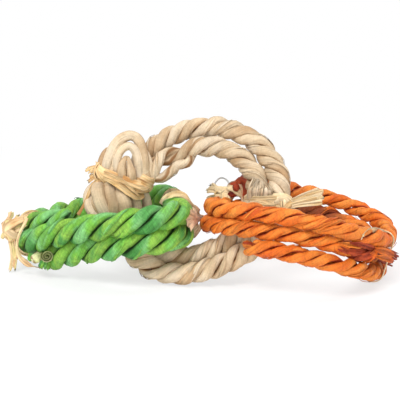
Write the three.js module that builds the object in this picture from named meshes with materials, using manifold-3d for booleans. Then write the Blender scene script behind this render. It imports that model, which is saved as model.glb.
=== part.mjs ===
// Pet chew toy: three linked rings, each a hank of twisted corn husk rope bound by two husk ties.
// Millimetres, +Z up, floor at z = 0. The front of the toy faces -Y and its long side runs along X.
// The natural ring leans back and passes down through the green ring (left) and the orange ring (right).
import * as THREE from "three";
import Module from "manifold-3d";

const wasm = await Module();
wasm.setup();

// Clearances: between the turns of a hank, between a band and its ropes, and between other pieces
const TURN_GAP = 0.7;
const BAND_GAP = 1.0;
const PIECE_GAP = 0.4;

// Faceting
const STEPS_A_TURN = 24;
const ROPE_SIDES = 6;
const BAND_SIDES = 20;
const STRAND_SIDES = 8;
const STEPS_A_BEND = 3;
const KNOT_SIDES = 8;
const KNOT_LEVEL_SHARES = [-0.94, -0.55, 0, 0.55, 0.94];
const STRIP_LEVEL_SHARES = [0, 0.35, 0.7, 1];
const ARCH_SHOULDER_SHARES = [0, 0.33, 0.75];
const FULL_TURN_DEG = 360;

// A rope is cut flat at the floor by this share of its width
const FLAT_DEPTH_SHARE = 0.1;
// A rope is drawn in towards the middle of its hank over this share of a turn beside both ends
const DRAWN_IN_REACH_SHARE = 0.22;

// Each ring is an oval in its own XY plane with a gentle drift, wound as a hank whose turns stack one way.
// Drift lengths swing twice (oval) and three times (corner) a turn in the plane, and twice (saddle) out of it.
// A dent draws the hank in towards the ring's middle around one bearing.
// A tie's headings are [outward, along the rope, along the ring's axis].
const NATURAL = {
  ropeWidth: 9.1,
  halfWidth: 37.9,
  halfDepth: 29.0,
  ovalCos: -2.5,
  ovalSin: 2.6,
  cornerCos: 0.1,
  cornerSin: -1.1,
  saddleCos: 2.1,
  saddleSin: -1.5,
  dent: { inward: 6.5, bearingDeg: 224, reachDeg: 21 },
  startDeg: 163,
  turns: 2,
  stackDeg: 80.7,
  stackSign: -1,
  weave: 3.4,
  drawnInShare: 0.3,
  tilt: { x: 63.2, y: 0, z: -9.7, order: "ZYX" },
};
const GREEN = {
  ropeWidth: 9.6,
  halfWidth: 41.1,
  halfDepth: 29.1,
  ovalCos: -1.9,
  ovalSin: -1.8,
  cornerCos: -1.2,
  cornerSin: -3.3,
  saddleCos: -1.3,
  saddleSin: 0.3,
  startDeg: 208,
  turns: 2.14,
  stackDeg: 1.6,
  stackSign: 1,
  weave: 2.1,
  drawnInShare: 0,
  tilt: { x: -8.9, y: -10.5, z: -22.3, order: "YXZ" },
};
const ORANGE = {
  ropeWidth: 7.2,
  halfWidth: 40.7,
  halfDepth: 38.8,
  ovalCos: -0.6,
  ovalSin: 4.6,
  cornerCos: -3.2,
  cornerSin: -0.8,
  saddleCos: -2.9,
  saddleSin: 0.3,
  startDeg: 215,
  turns: 2.85,
  stackDeg: 2.9,
  stackSign: 1,
  weave: -2.0,
  drawnInShare: 0,
  tilt: { x: -6.2, y: 13.2, z: -2.8, order: "YXZ" },
};

// Where the natural ring passes down through its neighbours, and how far each neighbour reaches past that
// place: sideways to its inner end, and back to its middle
const GREEN_LINK = { bearingDeg: 210, innerReach: 36.7, back: 9.9, side: -1 };
const ORANGE_LINK = { bearingDeg: 320, innerReach: 15.6, back: 13.3, side: 1 };

const NATURAL_HUSK = { color: 0xdcc294, roughness: 0.72, metalness: 0 };
const TAN_TIE = { color: 0xd59f55, roughness: 0.7, metalness: 0 };
const PALE_TIE = { color: 0xe6cf9c, roughness: 0.7, metalness: 0 };
const GREEN_HUSK = { color: 0x4f9a3a, roughness: 0.6, metalness: 0 };
const LIME_TIE = { color: 0x9cb84f, roughness: 0.65, metalness: 0 };
const PINK_TIE = { color: 0xd9a98c, roughness: 0.7, metalness: 0 };
const ORANGE_HUSK = { color: 0xe2711c, roughness: 0.65, metalness: 0 };
const RED_HUSK = { color: 0x9c2f18, roughness: 0.7, metalness: 0 };
const GREY_WIRE = { color: 0x9a9c9c, roughness: 0.35, metalness: 0.9 };

const NATURAL_LEFT_TIE = {
  name: "natural_left_tie",
  bearingDeg: 167,
  bandWidth: 5.4,
  bandThickness: 1.0,
  skewShare: 0.18,
  finish: TAN_TIE,
  knot: { facingDeg: 22, slide: 0, width: 5.0, length: 6.2, height: 3.6 },
  strips: [
    {
      name: "tail_upper", heading: [1, -0.1, 0], broad: [0, 1, 0],
      length: 7, rootWidth: 3.4, tipWidth: 6.4, thickness: 0.8, bend: 1,
    },
    {
      name: "strip", heading: [-0.04, 1, 0.05], broad: [0.4, 0, 1],
      length: 13, rootWidth: 1.8, tipWidth: 1.4, thickness: 0.7, bend: 0,
    },
  ],
};
const NATURAL_RIGHT_TIE = {
  name: "natural_right_tie",
  bearingDeg: 355,
  bandWidth: 5.2,
  bandThickness: 0.9,
  finish: PALE_TIE,
  knot: { facingDeg: 28, slide: 0, width: 4.4, length: 5.4, height: 3.4 },
  strips: [
    {
      name: "fan", heading: [1, 0.3, 0.05], broad: [-0.3, 1, 0],
      length: 16, rootWidth: 2.6, tipWidth: 8.2, thickness: 0.8, bend: 1,
    },
    {
      name: "tail_short", heading: [0.72, -0.75, 0], broad: [0, 0.2, 1],
      length: 6, rootWidth: 2.2, tipWidth: 2.8, thickness: 0.7, bend: 0.5,
    },
  ],
};
const GREEN_LEFT_TIE = {
  name: "green_left_tie",
  bearingDeg: 210,
  fromTurn: 0.5,
  bandWidth: 4.2,
  bandThickness: 0.9,
  finish: LIME_TIE,
  knot: { facingDeg: 18.6, slide: 6, width: 8.4, length: 5.6, height: 4.2 },
  strips: [
    {
      name: "tail_up", heading: [-0.1, 0.1, 1], broad: [0, 1, 0],
      length: 6, rootWidth: 3.2, tipWidth: 2.2, thickness: 0.8, bend: 0,
    },
    {
      name: "tail_down", heading: [0.3, -0.3, -0.93], broad: [0, 1, -0.3],
      length: 15, rootWidth: 3.8, tipWidth: 3.0, thickness: 0.8, bend: 0,
    },
  ],
};
// The thin strap round the outside of the green hank's lower two ropes, between two facings
const GREEN_STRAP = { toTurn: 1.5, ahead: 4.8, fromDeg: 36, endDeg: -26, steps: 6, width: 1.6, thickness: 0.8 };
const GREEN_RIGHT_TIE = {
  name: "green_right_tie",
  bearingDeg: 50,
  bandWidth: 7.4,
  bandThickness: 0.9,
  finish: PINK_TIE,
  cone: { facingDeg: 0, slide: -4.4, rootWidth: 7.8, tipWidth: 2.4, length: 7.2, dropShare: -0.12 },
  coneStrip: {
    name: "strip", heading: [-0.62, 0.2, -0.78], broad: [0, 1, 0],
    length: 10, rootWidth: 2.2, tipWidth: 2.8, thickness: 0.7, bend: 0,
  },
};
const ORANGE_LEFT_TIE = {
  name: "orange_left_tie",
  bearingDeg: 153,
  bandWidth: 6.4,
  bandThickness: 0.9,
  finish: PINK_TIE,
  knot: { facingDeg: 0, slide: -3.4, width: 6.0, length: 5.4, height: 4.0 },
  strips: [
    {
      name: "tail_upper", heading: [0.4, 0.8, 0.3], broad: [0, 0, 1],
      length: 8, rootWidth: 2.0, tipWidth: 3.2, thickness: 0.8, bend: 0.6,
    },
    {
      name: "tail_lower", heading: [1, 0.05, -0.1], broad: [0, 0.2, 1],
      length: 5.5, rootWidth: 1.8, tipWidth: 2.8, thickness: 0.8, bend: 0.4,
    },
  ],
};
const ORANGE_RIGHT_TIE = {
  name: "orange_right_tie",
  bearingDeg: 335,
  bandWidth: 2.0,
  bandThickness: 0.8,
  finish: PALE_TIE,
  strips: [],
};

// Bights of single strands that stand out of a tie: spread and rise of the arch, its middle from the tie's
// middle outward and along the ring's axis, how far its feet stand off, and how its top moves outward
const NATURAL_EYE_OUTER = { strand: 4.2, spread: 13.4, rise: 13.8, outward: 1.4, axial: 8.4, topOut: 6 };
const NATURAL_EYE_INNER = { strand: 3.0, spread: 5.2, rise: 9.6, outward: 1.2, axial: 8.4, topOut: 3.6 };
const ORANGE_LOOP = { strand: 2.6, spread: 6.4, rise: 6.4, middle: -8.4, outward: 6.9, foot: 5.4 };

// Short strand ends that lie against the rope: turn along it, facing round it, and their own size
const GREEN_CUT_PALE = { turn: 0.035, facingDeg: 10, width: 4.2, length: 6.0, heading: [0.2, 0.98, 0] };
const GREEN_CUT_ROLLED = { turn: 0.1, facingDeg: 10, width: 5.6, length: 4.4, heading: [1, 0.3, 0] };
const ORANGE_FRAY_UPPER = {
  turn: 1.39, facingDeg: 22, width: 3.4, thickness: 1.6, length: 9, heading: [0.24, 1, 0.1],
};
const ORANGE_FRAY_LOWER = {
  turn: 1.38, facingDeg: -26, width: 3.0, thickness: 1.4, length: 8, heading: [0.26, 1, -0.12],
};

// The wire loop stands round the orange ring's upper tail
const WIRE_LOOP = { width: 8.2, wire: 0.9, ahead: 1.3, steps: 20, sides: 6 };

const rad = THREE.MathUtils.degToRad;
const sum = (...vectors) => vectors.reduce((total, v) => total.add(v), new THREE.Vector3());
const times = (vector, factor) => vector.clone().multiplyScalar(factor);

function signedVolume(points, index) {
  let volume = 0;
  for (let i = 0; i < index.length; i += 3) {
    volume += points[index[i]].dot(points[index[i + 1]].clone().cross(points[index[i + 2]]));
  }
  return volume;
}

// Skins a row of outlines, all with as many points, and closes it with flat ends or back onto its first outline
function loft(outlines, looped = false) {
  const around = outlines[0].length;
  const rows = looped ? outlines.length : outlines.length - 1;
  const index = [];
  for (let i = 0; i < rows; i += 1) {
    const here = i * around;
    const next = ((i + 1) % outlines.length) * around;
    for (let j = 0; j < around; j += 1) {
      const k = (j + 1) % around;
      index.push(here + j, here + k, next + k, here + j, next + k, next + j);
    }
  }
  if (!looped) {
    const last = (outlines.length - 1) * around;
    for (let j = 1; j < around - 1; j += 1) {
      index.push(0, j + 1, j, last, last + j, last + j + 1);
    }
  }
  const points = outlines.flat();
  if (signedVolume(points, index) < 0) {
    index.reverse();
  }
  const geometry = new THREE.BufferGeometry();
  const places = points.flatMap((point) => point.toArray());
  geometry.setAttribute("position", new THREE.Float32BufferAttribute(places, 3));
  geometry.setIndex(index);
  return geometry;
}

const angleAt = (ring, turn) => rad(ring.startDeg) + 2 * Math.PI * turn;

// A hank's level counts turns from its middle, and is drawn in beside both ends
function levelAt(ring, turn) {
  const half = ring.turns / 2;
  const level = turn - half;
  const near = THREE.MathUtils.smoothstep(Math.abs(level), half - DRAWN_IN_REACH_SHARE, half);
  return level * (1 - ring.drawnInShare * near);
}

// How far a ring's dent draws its hank in at an angle
function dentAt(ring, angle) {
  if (!ring.dent) {
    return 0;
  }
  const past = (THREE.MathUtils.radToDeg(angle) - ring.dent.bearingDeg) / FULL_TURN_DEG;
  const share = ((past - Math.round(past)) * FULL_TURN_DEG) / ring.dent.reachDeg;
  return ring.dent.inward * Math.exp(-share * share);
}

// A point of the rope's centre line in the ring's own frame
function ropePoint(ring, turn) {
  const angle = angleAt(ring, turn);
  const stack = ring.stackSign * (ring.ropeWidth + TURN_GAP) * levelAt(ring, turn);
  const weave = ring.weave * Math.cos(Math.PI * (turn - ring.turns / 2));
  const lean = rad(ring.stackDeg);
  const oval = ring.ovalCos * Math.cos(2 * angle) + ring.ovalSin * Math.sin(2 * angle);
  const corner = ring.cornerCos * Math.cos(3 * angle) + ring.cornerSin * Math.sin(3 * angle);
  const saddle = ring.saddleCos * Math.cos(2 * angle) + ring.saddleSin * Math.sin(2 * angle);
  const drift = stack * Math.sin(lean) + weave * Math.cos(lean) + oval + corner - dentAt(ring, angle);
  const height = stack * Math.cos(lean) - weave * Math.sin(lean) + saddle;
  const across = (ring.halfWidth + drift) * Math.cos(angle);
  return new THREE.Vector3(across, (ring.halfDepth + drift) * Math.sin(angle), height);
}

// Unit vectors outward from the ring, along the rope and along the ring's axis, all square to each other
function ropeFrame(ring, turn) {
  const half = 1 / STEPS_A_TURN / 2;
  const along = ropePoint(ring, turn + half).sub(ropePoint(ring, turn - half)).normalize();
  const outward = new THREE.Vector3(Math.cos(angleAt(ring, turn)), Math.sin(angleAt(ring, turn)), 0);
  outward.addScaledVector(along, -outward.dot(along)).normalize();
  return { outward, along, axial: outward.clone().cross(along) };
}

// A direction in such a frame
function toward(frame, [outward, along, axial]) {
  return sum(times(frame.outward, outward), times(frame.along, along), times(frame.axial, axial)).normalize();
}

// A direction square to the rope, by its angle from outward towards the ring's axis
function facingAt(frame, deg) {
  return toward(frame, [Math.cos(rad(deg)), 0, Math.sin(rad(deg))]);
}

function circle(centre, sideways, upward, radius, sides) {
  return Array.from({ length: sides }, (_, j) => {
    const angle = (2 * Math.PI * (j + 1 / 2)) / sides;
    return sum(centre, times(sideways, radius * Math.cos(angle)), times(upward, radius * Math.sin(angle)));
  });
}

function ropeGeometry(ring) {
  const steps = Math.ceil(ring.turns * STEPS_A_TURN);
  return loft(
    Array.from({ length: steps + 1 }, (_, i) => {
      const turn = (ring.turns * i) / steps;
      const { outward, axial } = ropeFrame(ring, turn);
      return circle(ropePoint(ring, turn), outward, axial, ring.ropeWidth / 2, ROPE_SIDES);
    }),
  );
}

// The least clear distance between two turns of one rope, measured on points of its faceted centre line
function leastGap(ring) {
  const steps = Math.ceil(ring.turns * STEPS_A_TURN);
  const points = [];
  for (let i = 0; i < steps; i += 1) {
    const from = ropePoint(ring, (ring.turns * i) / steps);
    const to = ropePoint(ring, (ring.turns * (i + 1)) / steps);
    points.push(from, from.clone().lerp(to, 0.5));
  }
  let least = Infinity;
  for (let i = 0; i < points.length; i += 1) {
    for (let j = i + STEPS_A_TURN; j < points.length; j += 1) {
      least = Math.min(least, points[i].distanceTo(points[j]));
    }
  }
  return least - ring.ropeWidth;
}

// The turns at which the rope passes a bearing of the ring, its two ends taken in where they are near
function passesAt(ring, bearingDeg) {
  const past = 1 / STEPS_A_TURN / 2;
  const first = (bearingDeg - ring.startDeg) / FULL_TURN_DEG;
  const turns = [];
  for (let turn = first - Math.floor(first + past); turn <= ring.turns + past; turn += 1) {
    turns.push(THREE.MathUtils.clamp(turn, 0, ring.turns));
  }
  return turns;
}

// The place of a tie: the ropes that it binds, their middle, and the frame of the middle one
function station(ring, { bearingDeg, fromTurn = 0, toTurn = ring.turns }) {
  const turns = passesAt(ring, bearingDeg).filter((turn) => turn >= fromTurn && turn <= toTurn);
  const ropes = turns.map((turn) => ropePoint(ring, turn));
  const middle = times(sum(...ropes), 1 / ropes.length);
  return { ...ropeFrame(ring, turns[Math.floor(turns.length / 2)]), ropes, middle, ropeWidth: ring.ropeWidth };
}

// The point of a wrap round those ropes, some distance clear of them, that faces a direction
function wrapPoint(place, facing, clear) {
  const level = (rope) => rope.clone().sub(place.middle).dot(facing);
  const outer = place.ropes.reduce((best, rope) => (level(rope) > level(best) ? rope : best));
  const flat = outer.clone().sub(place.middle);
  flat.addScaledVector(place.along, -flat.dot(place.along));
  return sum(place.middle, flat, times(facing, place.ropeWidth / 2 + clear));
}

// How far a skewed band stands along the rope at a point of its wrap
function skewAt(place, tie, point) {
  return times(place.along, (tie.skewShare ?? 0) * point.clone().sub(place.middle).dot(place.outward));
}

function bandGeometry(place, tie) {
  const half = times(place.along, tie.bandWidth / 2);
  return loft(
    Array.from({ length: BAND_SIDES }, (_, i) => {
      const facing = facingAt(place, (FULL_TURN_DEG * i) / BAND_SIDES);
      const inner = wrapPoint(place, facing, BAND_GAP);
      const outer = wrapPoint(place, facing, BAND_GAP + tie.bandThickness);
      const skew = skewAt(place, tie, inner);
      const back = sum(skew, times(half, -1));
      const ahead = sum(skew, half);
      return [sum(inner, back), sum(inner, ahead), sum(outer, ahead), sum(outer, back)];
    }),
    true,
  );
}

// A strap that lies on one side of a hank only
function strapGeometry(place, strap) {
  return loft(
    Array.from({ length: strap.steps + 1 }, (_, i) => {
      const facing = facingAt(place, THREE.MathUtils.lerp(strap.fromDeg, strap.endDeg, i / strap.steps));
      const inner = wrapPoint(place, facing, PIECE_GAP);
      const outer = wrapPoint(place, facing, PIECE_GAP + strap.thickness);
      const [back, front] = [strap.ahead - strap.width / 2, strap.ahead + strap.width / 2];
      return [
        sum(inner, times(place.along, back)),
        sum(inner, times(place.along, front)),
        sum(outer, times(place.along, front)),
        sum(outer, times(place.along, back)),
      ];
    }),
  );
}

// A rounded lump with three half sizes along three square directions
function knotGeometry(centre, directions, halves) {
  const [a, b, c] = directions.map((direction, i) => times(direction, halves[i]));
  return loft(
    KNOT_LEVEL_SHARES.map((level) => {
      const girth = Math.sqrt(1 - level * level);
      return circle(sum(centre, times(a, level)), b, c, girth, KNOT_SIDES);
    }),
  );
}

// A flat strip of husk: it widens or narrows from its root and bends over towards its tip
function stripGeometry(root, heading, broadside, strip) {
  const over = heading.clone().cross(broadside);
  return loft(
    STRIP_LEVEL_SHARES.map((share) => {
      const centre = sum(root, times(heading, strip.length * share), times(over, strip.bend * share * share));
      const half = times(broadside, THREE.MathUtils.lerp(strip.rootWidth, strip.tipWidth, share) / 2);
      const thick = times(over, strip.thickness / 2);
      const [back, under] = [times(half, -1), times(thick, -1)];
      const corners = [[back, under], [half, under], [half, thick], [back, thick]];
      return corners.map((offsets) => sum(centre, ...offsets));
    }),
  );
}

// A round strand through a row of points that lie in one plane
function strandGeometry(points, planeNormal, width) {
  const curve = new THREE.CatmullRomCurve3(points, false, "centripetal");
  const steps = points.length * STEPS_A_BEND;
  return loft(
    Array.from({ length: steps + 1 }, (_, i) => {
      const sideways = curve.getTangent(i / steps).cross(planeNormal).normalize();
      return circle(curve.getPoint(i / steps), sideways, planeNormal, width / 2, STRAND_SIDES);
    }),
  );
}

// A short round strand end
function stubGeometry(root, heading, sideways, width, length) {
  const upward = heading.clone().cross(sideways);
  const tip = sum(root, times(heading, length));
  return loft([root, tip].map((centre) => circle(centre, sideways, upward, width / 2, STRAND_SIDES)));
}

// Points of an arch on two feet: its spread runs along one direction and its rise along another
function archPoints(middle, spreadWay, riseWay, arch) {
  const half = arch.spread / 2;
  const place = (side, up) => sum(
    middle,
    times(spreadWay, half * side + (arch.topOut ?? 0) * up * up),
    times(riseWay, arch.rise * up),
  );
  const up = ARCH_SHOULDER_SHARES.map((share) => place(1, share));
  const down = ARCH_SHOULDER_SHARES.map((share) => place(-1, share)).reverse();
  return [...up, place(0, 1), ...down];
}

function squareTo(direction, heading) {
  return direction.clone().addScaledVector(heading, -direction.dot(heading)).normalize();
}

function piece(name, geometry, finish) {
  const mesh = new THREE.Mesh(geometry, new THREE.MeshStandardMaterial(finish));
  mesh.name = name;
  return mesh;
}

// Adds a tie's strip to its group, its root a small gap clear of the surface it leaves
function addStrip(group, tie, place, surface, strip) {
  const heading = toward(place, strip.heading);
  const broadside = squareTo(toward(place, strip.broad), heading);
  const root = sum(surface(heading), times(heading, PIECE_GAP));
  group.add(piece(`${tie.name}_${strip.name}`, stripGeometry(root, heading, broadside, strip), tie.finish));
  return { root, heading, broadside };
}

// Adds a tie to a ring's group: its band, the knot on the band, and the strips that leave the knot
function addTie(group, ring, tie) {
  const place = station(ring, tie);
  group.add(piece(`${tie.name}_band`, bandGeometry(place, tie), tie.finish));
  if (!tie.knot) {
    return { place, strips: [] };
  }
  const facing = facingAt(place, tie.knot.facingDeg);
  const round = facing.clone().cross(place.along).normalize();
  const halves = [tie.knot.height / 2, tie.knot.length / 2, tie.knot.width / 2];
  const lift = BAND_GAP + tie.bandThickness + PIECE_GAP + halves[0];
  const over = sum(wrapPoint(place, facing, lift), times(round, tie.knot.slide));
  const centre = sum(over, skewAt(place, tie, over));
  const axes = [facing, place.along, round];
  group.add(piece(`${tie.name}_knot`, knotGeometry(centre, axes, halves), tie.finish));
  const surface = (heading) => {
    const reach = 1 / Math.hypot(...axes.map((axis, i) => heading.dot(axis) / halves[i]));
    return sum(centre, times(heading, reach));
  };
  return { place, strips: tie.strips.map((strip) => addStrip(group, tie, place, surface, strip)) };
}

// Adds the cone of gathered husk on the outside of a tie, and the strip that hangs from its tip
function addCone(group, tie, place) {
  const { cone, coneStrip } = tie;
  const facing = facingAt(place, cone.facingDeg);
  const round = facing.clone().cross(place.along).normalize();
  const lift = BAND_GAP + tie.bandThickness + PIECE_GAP;
  const root = sum(wrapPoint(place, facing, lift), times(round, cone.slide));
  const tip = sum(root, times(facing, cone.length), times(round, cone.length * cone.dropShare));
  const rootCircle = circle(root, place.along, round, cone.rootWidth / 2, STRAND_SIDES);
  const tipCircle = circle(tip, place.along, round, cone.tipWidth / 2, STRAND_SIDES);
  group.add(piece(`${tie.name}_cone`, loft([rootCircle, tipCircle]), tie.finish));
  const under = sum(tip, times(round, -cone.tipWidth / 2 - coneStrip.thickness / 2));
  addStrip(group, tie, place, () => under, coneStrip);
}

// Adds the arch of a strand over a tie of the natural ring
function addEye(group, tie, place, name, eye) {
  const clear = tie.bandWidth / 2 + PIECE_GAP;
  const middle = sum(
    place.middle,
    times(place.along, -clear),
    times(place.outward, eye.outward),
    times(place.axial, eye.axial),
  );
  const spreadWay = sum(place.outward, times(place.along, tie.skewShare));
  const points = archPoints(middle, spreadWay, times(place.along, -1), eye);
  group.add(piece(name, strandGeometry(points, place.axial, eye.strand), NATURAL_HUSK));
}

// Adds the arch of a strand behind the orange ring's left tie
function addLoopBehind(group, place, name, eye) {
  const middle = sum(
    place.middle,
    times(place.along, eye.middle),
    times(place.outward, eye.outward),
    times(place.axial, eye.foot),
  );
  const points = archPoints(middle, place.along, place.axial, eye);
  group.add(piece(name, strandGeometry(points, place.outward, eye.strand), RED_HUSK));
}

// Where a small piece lies beside the rope, a small gap clear of it
function besideRope(ring, spot, ropeSide, halfThickness) {
  const frame = ropeFrame(ring, spot.turn);
  const facing = facingAt(frame, spot.facingDeg);
  const clear = ropeSide + PIECE_GAP + halfThickness;
  return { frame, facing, point: sum(ropePoint(ring, spot.turn), times(facing, clear)) };
}

function addStub(group, ring, name, spot, finish) {
  const turned = ropeFrame(ring, spot.turn);
  const heading = toward(turned, spot.heading);
  const lying = heading.clone().cross(turned.outward).length();
  const facetMiddle = (ring.ropeWidth / 2) * Math.cos(Math.PI / ROPE_SIDES);
  const { frame, point } = besideRope(ring, spot, facetMiddle, (spot.width / 2) * lying);
  const sideways = squareTo(frame.axial, heading);
  group.add(piece(name, stubGeometry(point, heading, sideways, spot.width, spot.length), finish));
}

function addFray(group, ring, name, spot, finish) {
  const { frame, facing, point } = besideRope(ring, spot, ring.ropeWidth / 2, spot.thickness / 2);
  const heading = toward(frame, spot.heading);
  const broadside = squareTo(facing.clone().cross(heading), heading);
  const strip = { ...spot, rootWidth: spot.width, tipWidth: spot.width / 2, bend: 0 };
  group.add(piece(name, stripGeometry(point, heading, broadside, strip), finish));
}

// Turns a ring's group, then sets its height so that the flat of its rope is on the floor
function standRing(ring, group) {
  group.rotation.set(rad(ring.tilt.x), rad(ring.tilt.y), rad(ring.tilt.z), ring.tilt.order);
  group.updateMatrixWorld(true);
  const turned = ropeGeometry(ring).applyMatrix4(group.matrixWorld);
  turned.computeBoundingBox();
  group.position.z = -turned.boundingBox.min.z - ring.ropeWidth * FLAT_DEPTH_SHARE;
}

function setBeside(ring, group, link) {
  const crossing = natural.localToWorld(station(NATURAL, link).middle);
  group.position.x = crossing.x + link.side * (ring.halfWidth - link.innerReach);
  group.position.y = crossing.y + link.back;
  return crossing;
}

function toSolid(geometry) {
  const vertProperties = new Float32Array(geometry.getAttribute("position").array);
  const triVerts = new Uint32Array(geometry.getIndex().array);
  return new wasm.Manifold(new wasm.Mesh({ numProp: 3, vertProperties, triVerts }));
}

// The rope of a ring with everything under the floor cut away
function cutRope(ring, group) {
  group.updateMatrixWorld(true);
  const turned = ropeGeometry(ring).applyMatrix4(group.matrixWorld);
  turned.computeBoundingBox();
  const { min, max } = turned.boundingBox;
  const corner = (x, y, z) => new THREE.Vector3(x, y, z);
  const outlineAt = (z) => [
    corner(min.x, min.y, z),
    corner(max.x, min.y, z),
    corner(max.x, max.y, z),
    corner(min.x, max.y, z),
  ];
  const underFloor = toSolid(loft([outlineAt(2 * min.z), outlineAt(0)]));
  const mesh = toSolid(turned).subtract(underFloor).getMesh();
  const geometry = new THREE.BufferGeometry();
  geometry.setAttribute("position", new THREE.Float32BufferAttribute(mesh.vertProperties, mesh.numProp));
  geometry.setIndex([...mesh.triVerts]);
  return geometry.applyMatrix4(group.matrixWorld.clone().invert());
}

const toy = new THREE.Group();
toy.name = "husk_ring_toy";
const natural = new THREE.Group();
natural.name = "natural_ring";
const green = new THREE.Group();
green.name = "green_ring";
const orange = new THREE.Group();
orange.name = "orange_ring";

standRing(NATURAL, natural);
natural.updateMatrixWorld(true);
standRing(GREEN, green);
standRing(ORANGE, orange);
const greenLink = setBeside(GREEN, green, GREEN_LINK);
const orangeLink = setBeside(ORANGE, orange, ORANGE_LINK);

natural.add(piece("natural_rope", cutRope(NATURAL, natural), NATURAL_HUSK));
const naturalLeft = addTie(natural, NATURAL, NATURAL_LEFT_TIE);
addEye(natural, NATURAL_LEFT_TIE, naturalLeft.place, "natural_eye_outer", NATURAL_EYE_OUTER);
addEye(natural, NATURAL_LEFT_TIE, naturalLeft.place, "natural_eye_inner", NATURAL_EYE_INNER);
addTie(natural, NATURAL, NATURAL_RIGHT_TIE);

green.add(piece("green_rope", cutRope(GREEN, green), GREEN_HUSK));
addStub(green, GREEN, "green_cut_end_pale", GREEN_CUT_PALE, PALE_TIE);
addStub(green, GREEN, "green_cut_end_rolled", GREEN_CUT_ROLLED, GREEN_HUSK);
addTie(green, GREEN, GREEN_LEFT_TIE);
const strapPlace = station(GREEN, { ...GREEN_STRAP, bearingDeg: GREEN_LEFT_TIE.bearingDeg });
green.add(piece("green_left_tie_strap", strapGeometry(strapPlace, GREEN_STRAP), LIME_TIE));
const greenRight = addTie(green, GREEN, GREEN_RIGHT_TIE);
addCone(green, GREEN_RIGHT_TIE, greenRight.place);

orange.add(piece("orange_rope", cutRope(ORANGE, orange), ORANGE_HUSK));
addFray(orange, ORANGE, "orange_fray_upper", ORANGE_FRAY_UPPER, RED_HUSK);
addFray(orange, ORANGE, "orange_fray_lower", ORANGE_FRAY_LOWER, RED_HUSK);
const orangeLeft = addTie(orange, ORANGE, ORANGE_LEFT_TIE);
addLoopBehind(orange, orangeLeft.place, "orange_loop_behind", ORANGE_LOOP);
addTie(orange, ORANGE, ORANGE_RIGHT_TIE);

// The wire loop rings the upper tail close to its root, standing up from it
const tail = orangeLeft.strips[0];
const loopRadius = (WIRE_LOOP.width - WIRE_LOOP.wire) / 2;
const tailStrip = ORANGE_LEFT_TIE.strips[0];
const tailShare = (WIRE_LOOP.ahead + WIRE_LOOP.wire) / tailStrip.length;
const tailHalf = THREE.MathUtils.lerp(tailStrip.rootWidth, tailStrip.tipWidth, tailShare) / 2;
const loopLift = loopRadius - WIRE_LOOP.wire / 2 - PIECE_GAP - tailHalf;
const pivot = sum(tail.root, times(tail.heading, WIRE_LOOP.ahead));
const loopMiddle = sum(pivot, times(tail.broadside, loopLift));
const loopAcross = tail.heading.clone().cross(tail.broadside);
const wireOutlines = Array.from({ length: WIRE_LOOP.steps }, (_, i) => {
  const angle = (2 * Math.PI * i) / WIRE_LOOP.steps;
  const radial = sum(times(tail.broadside, Math.cos(angle)), times(loopAcross, Math.sin(angle)));
  const centre = sum(loopMiddle, times(radial, loopRadius));
  return circle(centre, radial, tail.heading, WIRE_LOOP.wire / 2, WIRE_LOOP.sides);
});
orange.add(piece("wire_loop", loft(wireOutlines, true), GREY_WIRE));

toy.add(natural, green, orange);
toy.updateMatrixWorld(true);
const bounds = new THREE.Box3().setFromObject(toy, true);
const centre = bounds.getCenter(new THREE.Vector3());
for (const ring of [natural, green, orange]) {
  ring.position.x -= centre.x;
  ring.position.y -= centre.y;
}
toy.updateMatrixWorld(true);

for (const [name, ring] of [["natural", NATURAL], ["green", GREEN], ["orange", ORANGE]]) {
  console.log(`${name} rope: least gap to itself ${leastGap(ring).toFixed(2)} mm`);
}
const shown = (point) => point.toArray().map((value) => value.toFixed(4)).join(" ");
const moved = new THREE.Vector3(-centre.x, -centre.y, 0);
console.log(`toy moved by ${shown(moved)}`);
console.log(`green hinge at ${shown(sum(greenLink, moved))}`);
console.log(`orange hinge at ${shown(sum(orangeLink, moved))}`);
console.log(`wire loop hinge at ${shown(orange.localToWorld(pivot.clone()))}`);
console.log(`wire loop axis ${shown(tail.heading.clone().transformDirection(orange.matrixWorld))}`);

export default toy;
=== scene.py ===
import math

import bmesh
import bpy
import numpy as np
from mathutils import Matrix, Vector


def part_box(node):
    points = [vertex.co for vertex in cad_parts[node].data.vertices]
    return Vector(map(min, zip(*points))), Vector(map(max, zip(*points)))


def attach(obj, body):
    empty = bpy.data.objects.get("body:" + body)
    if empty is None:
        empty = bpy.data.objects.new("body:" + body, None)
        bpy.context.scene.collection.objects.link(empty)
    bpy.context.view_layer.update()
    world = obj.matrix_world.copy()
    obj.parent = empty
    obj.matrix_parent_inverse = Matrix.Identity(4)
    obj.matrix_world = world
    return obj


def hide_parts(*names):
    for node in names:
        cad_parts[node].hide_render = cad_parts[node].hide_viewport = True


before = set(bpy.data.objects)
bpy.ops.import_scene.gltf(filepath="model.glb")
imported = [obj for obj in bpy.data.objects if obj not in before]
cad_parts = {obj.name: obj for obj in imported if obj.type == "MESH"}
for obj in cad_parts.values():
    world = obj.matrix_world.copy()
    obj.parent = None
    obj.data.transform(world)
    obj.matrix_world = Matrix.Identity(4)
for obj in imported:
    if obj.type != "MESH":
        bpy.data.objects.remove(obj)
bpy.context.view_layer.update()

# Lengths here are millimetres and become metres when a mesh is made
MM = 0.001
TAU = 2 * math.pi

# Camera
ELEVATION = math.radians(13.55)
ROLL = math.radians(-0.17)
DISTANCE = 700
TARGET = np.array((-0.09, 3.02, 34.75))
LENS = 134.05
SENSOR = 36
SHIFT_UP = 0.0025
# The lens in pixels of the photograph, and the pixel that the camera points at
FOCAL = 1489.4
AIM_X = 200
AIM_Y = 201

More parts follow.
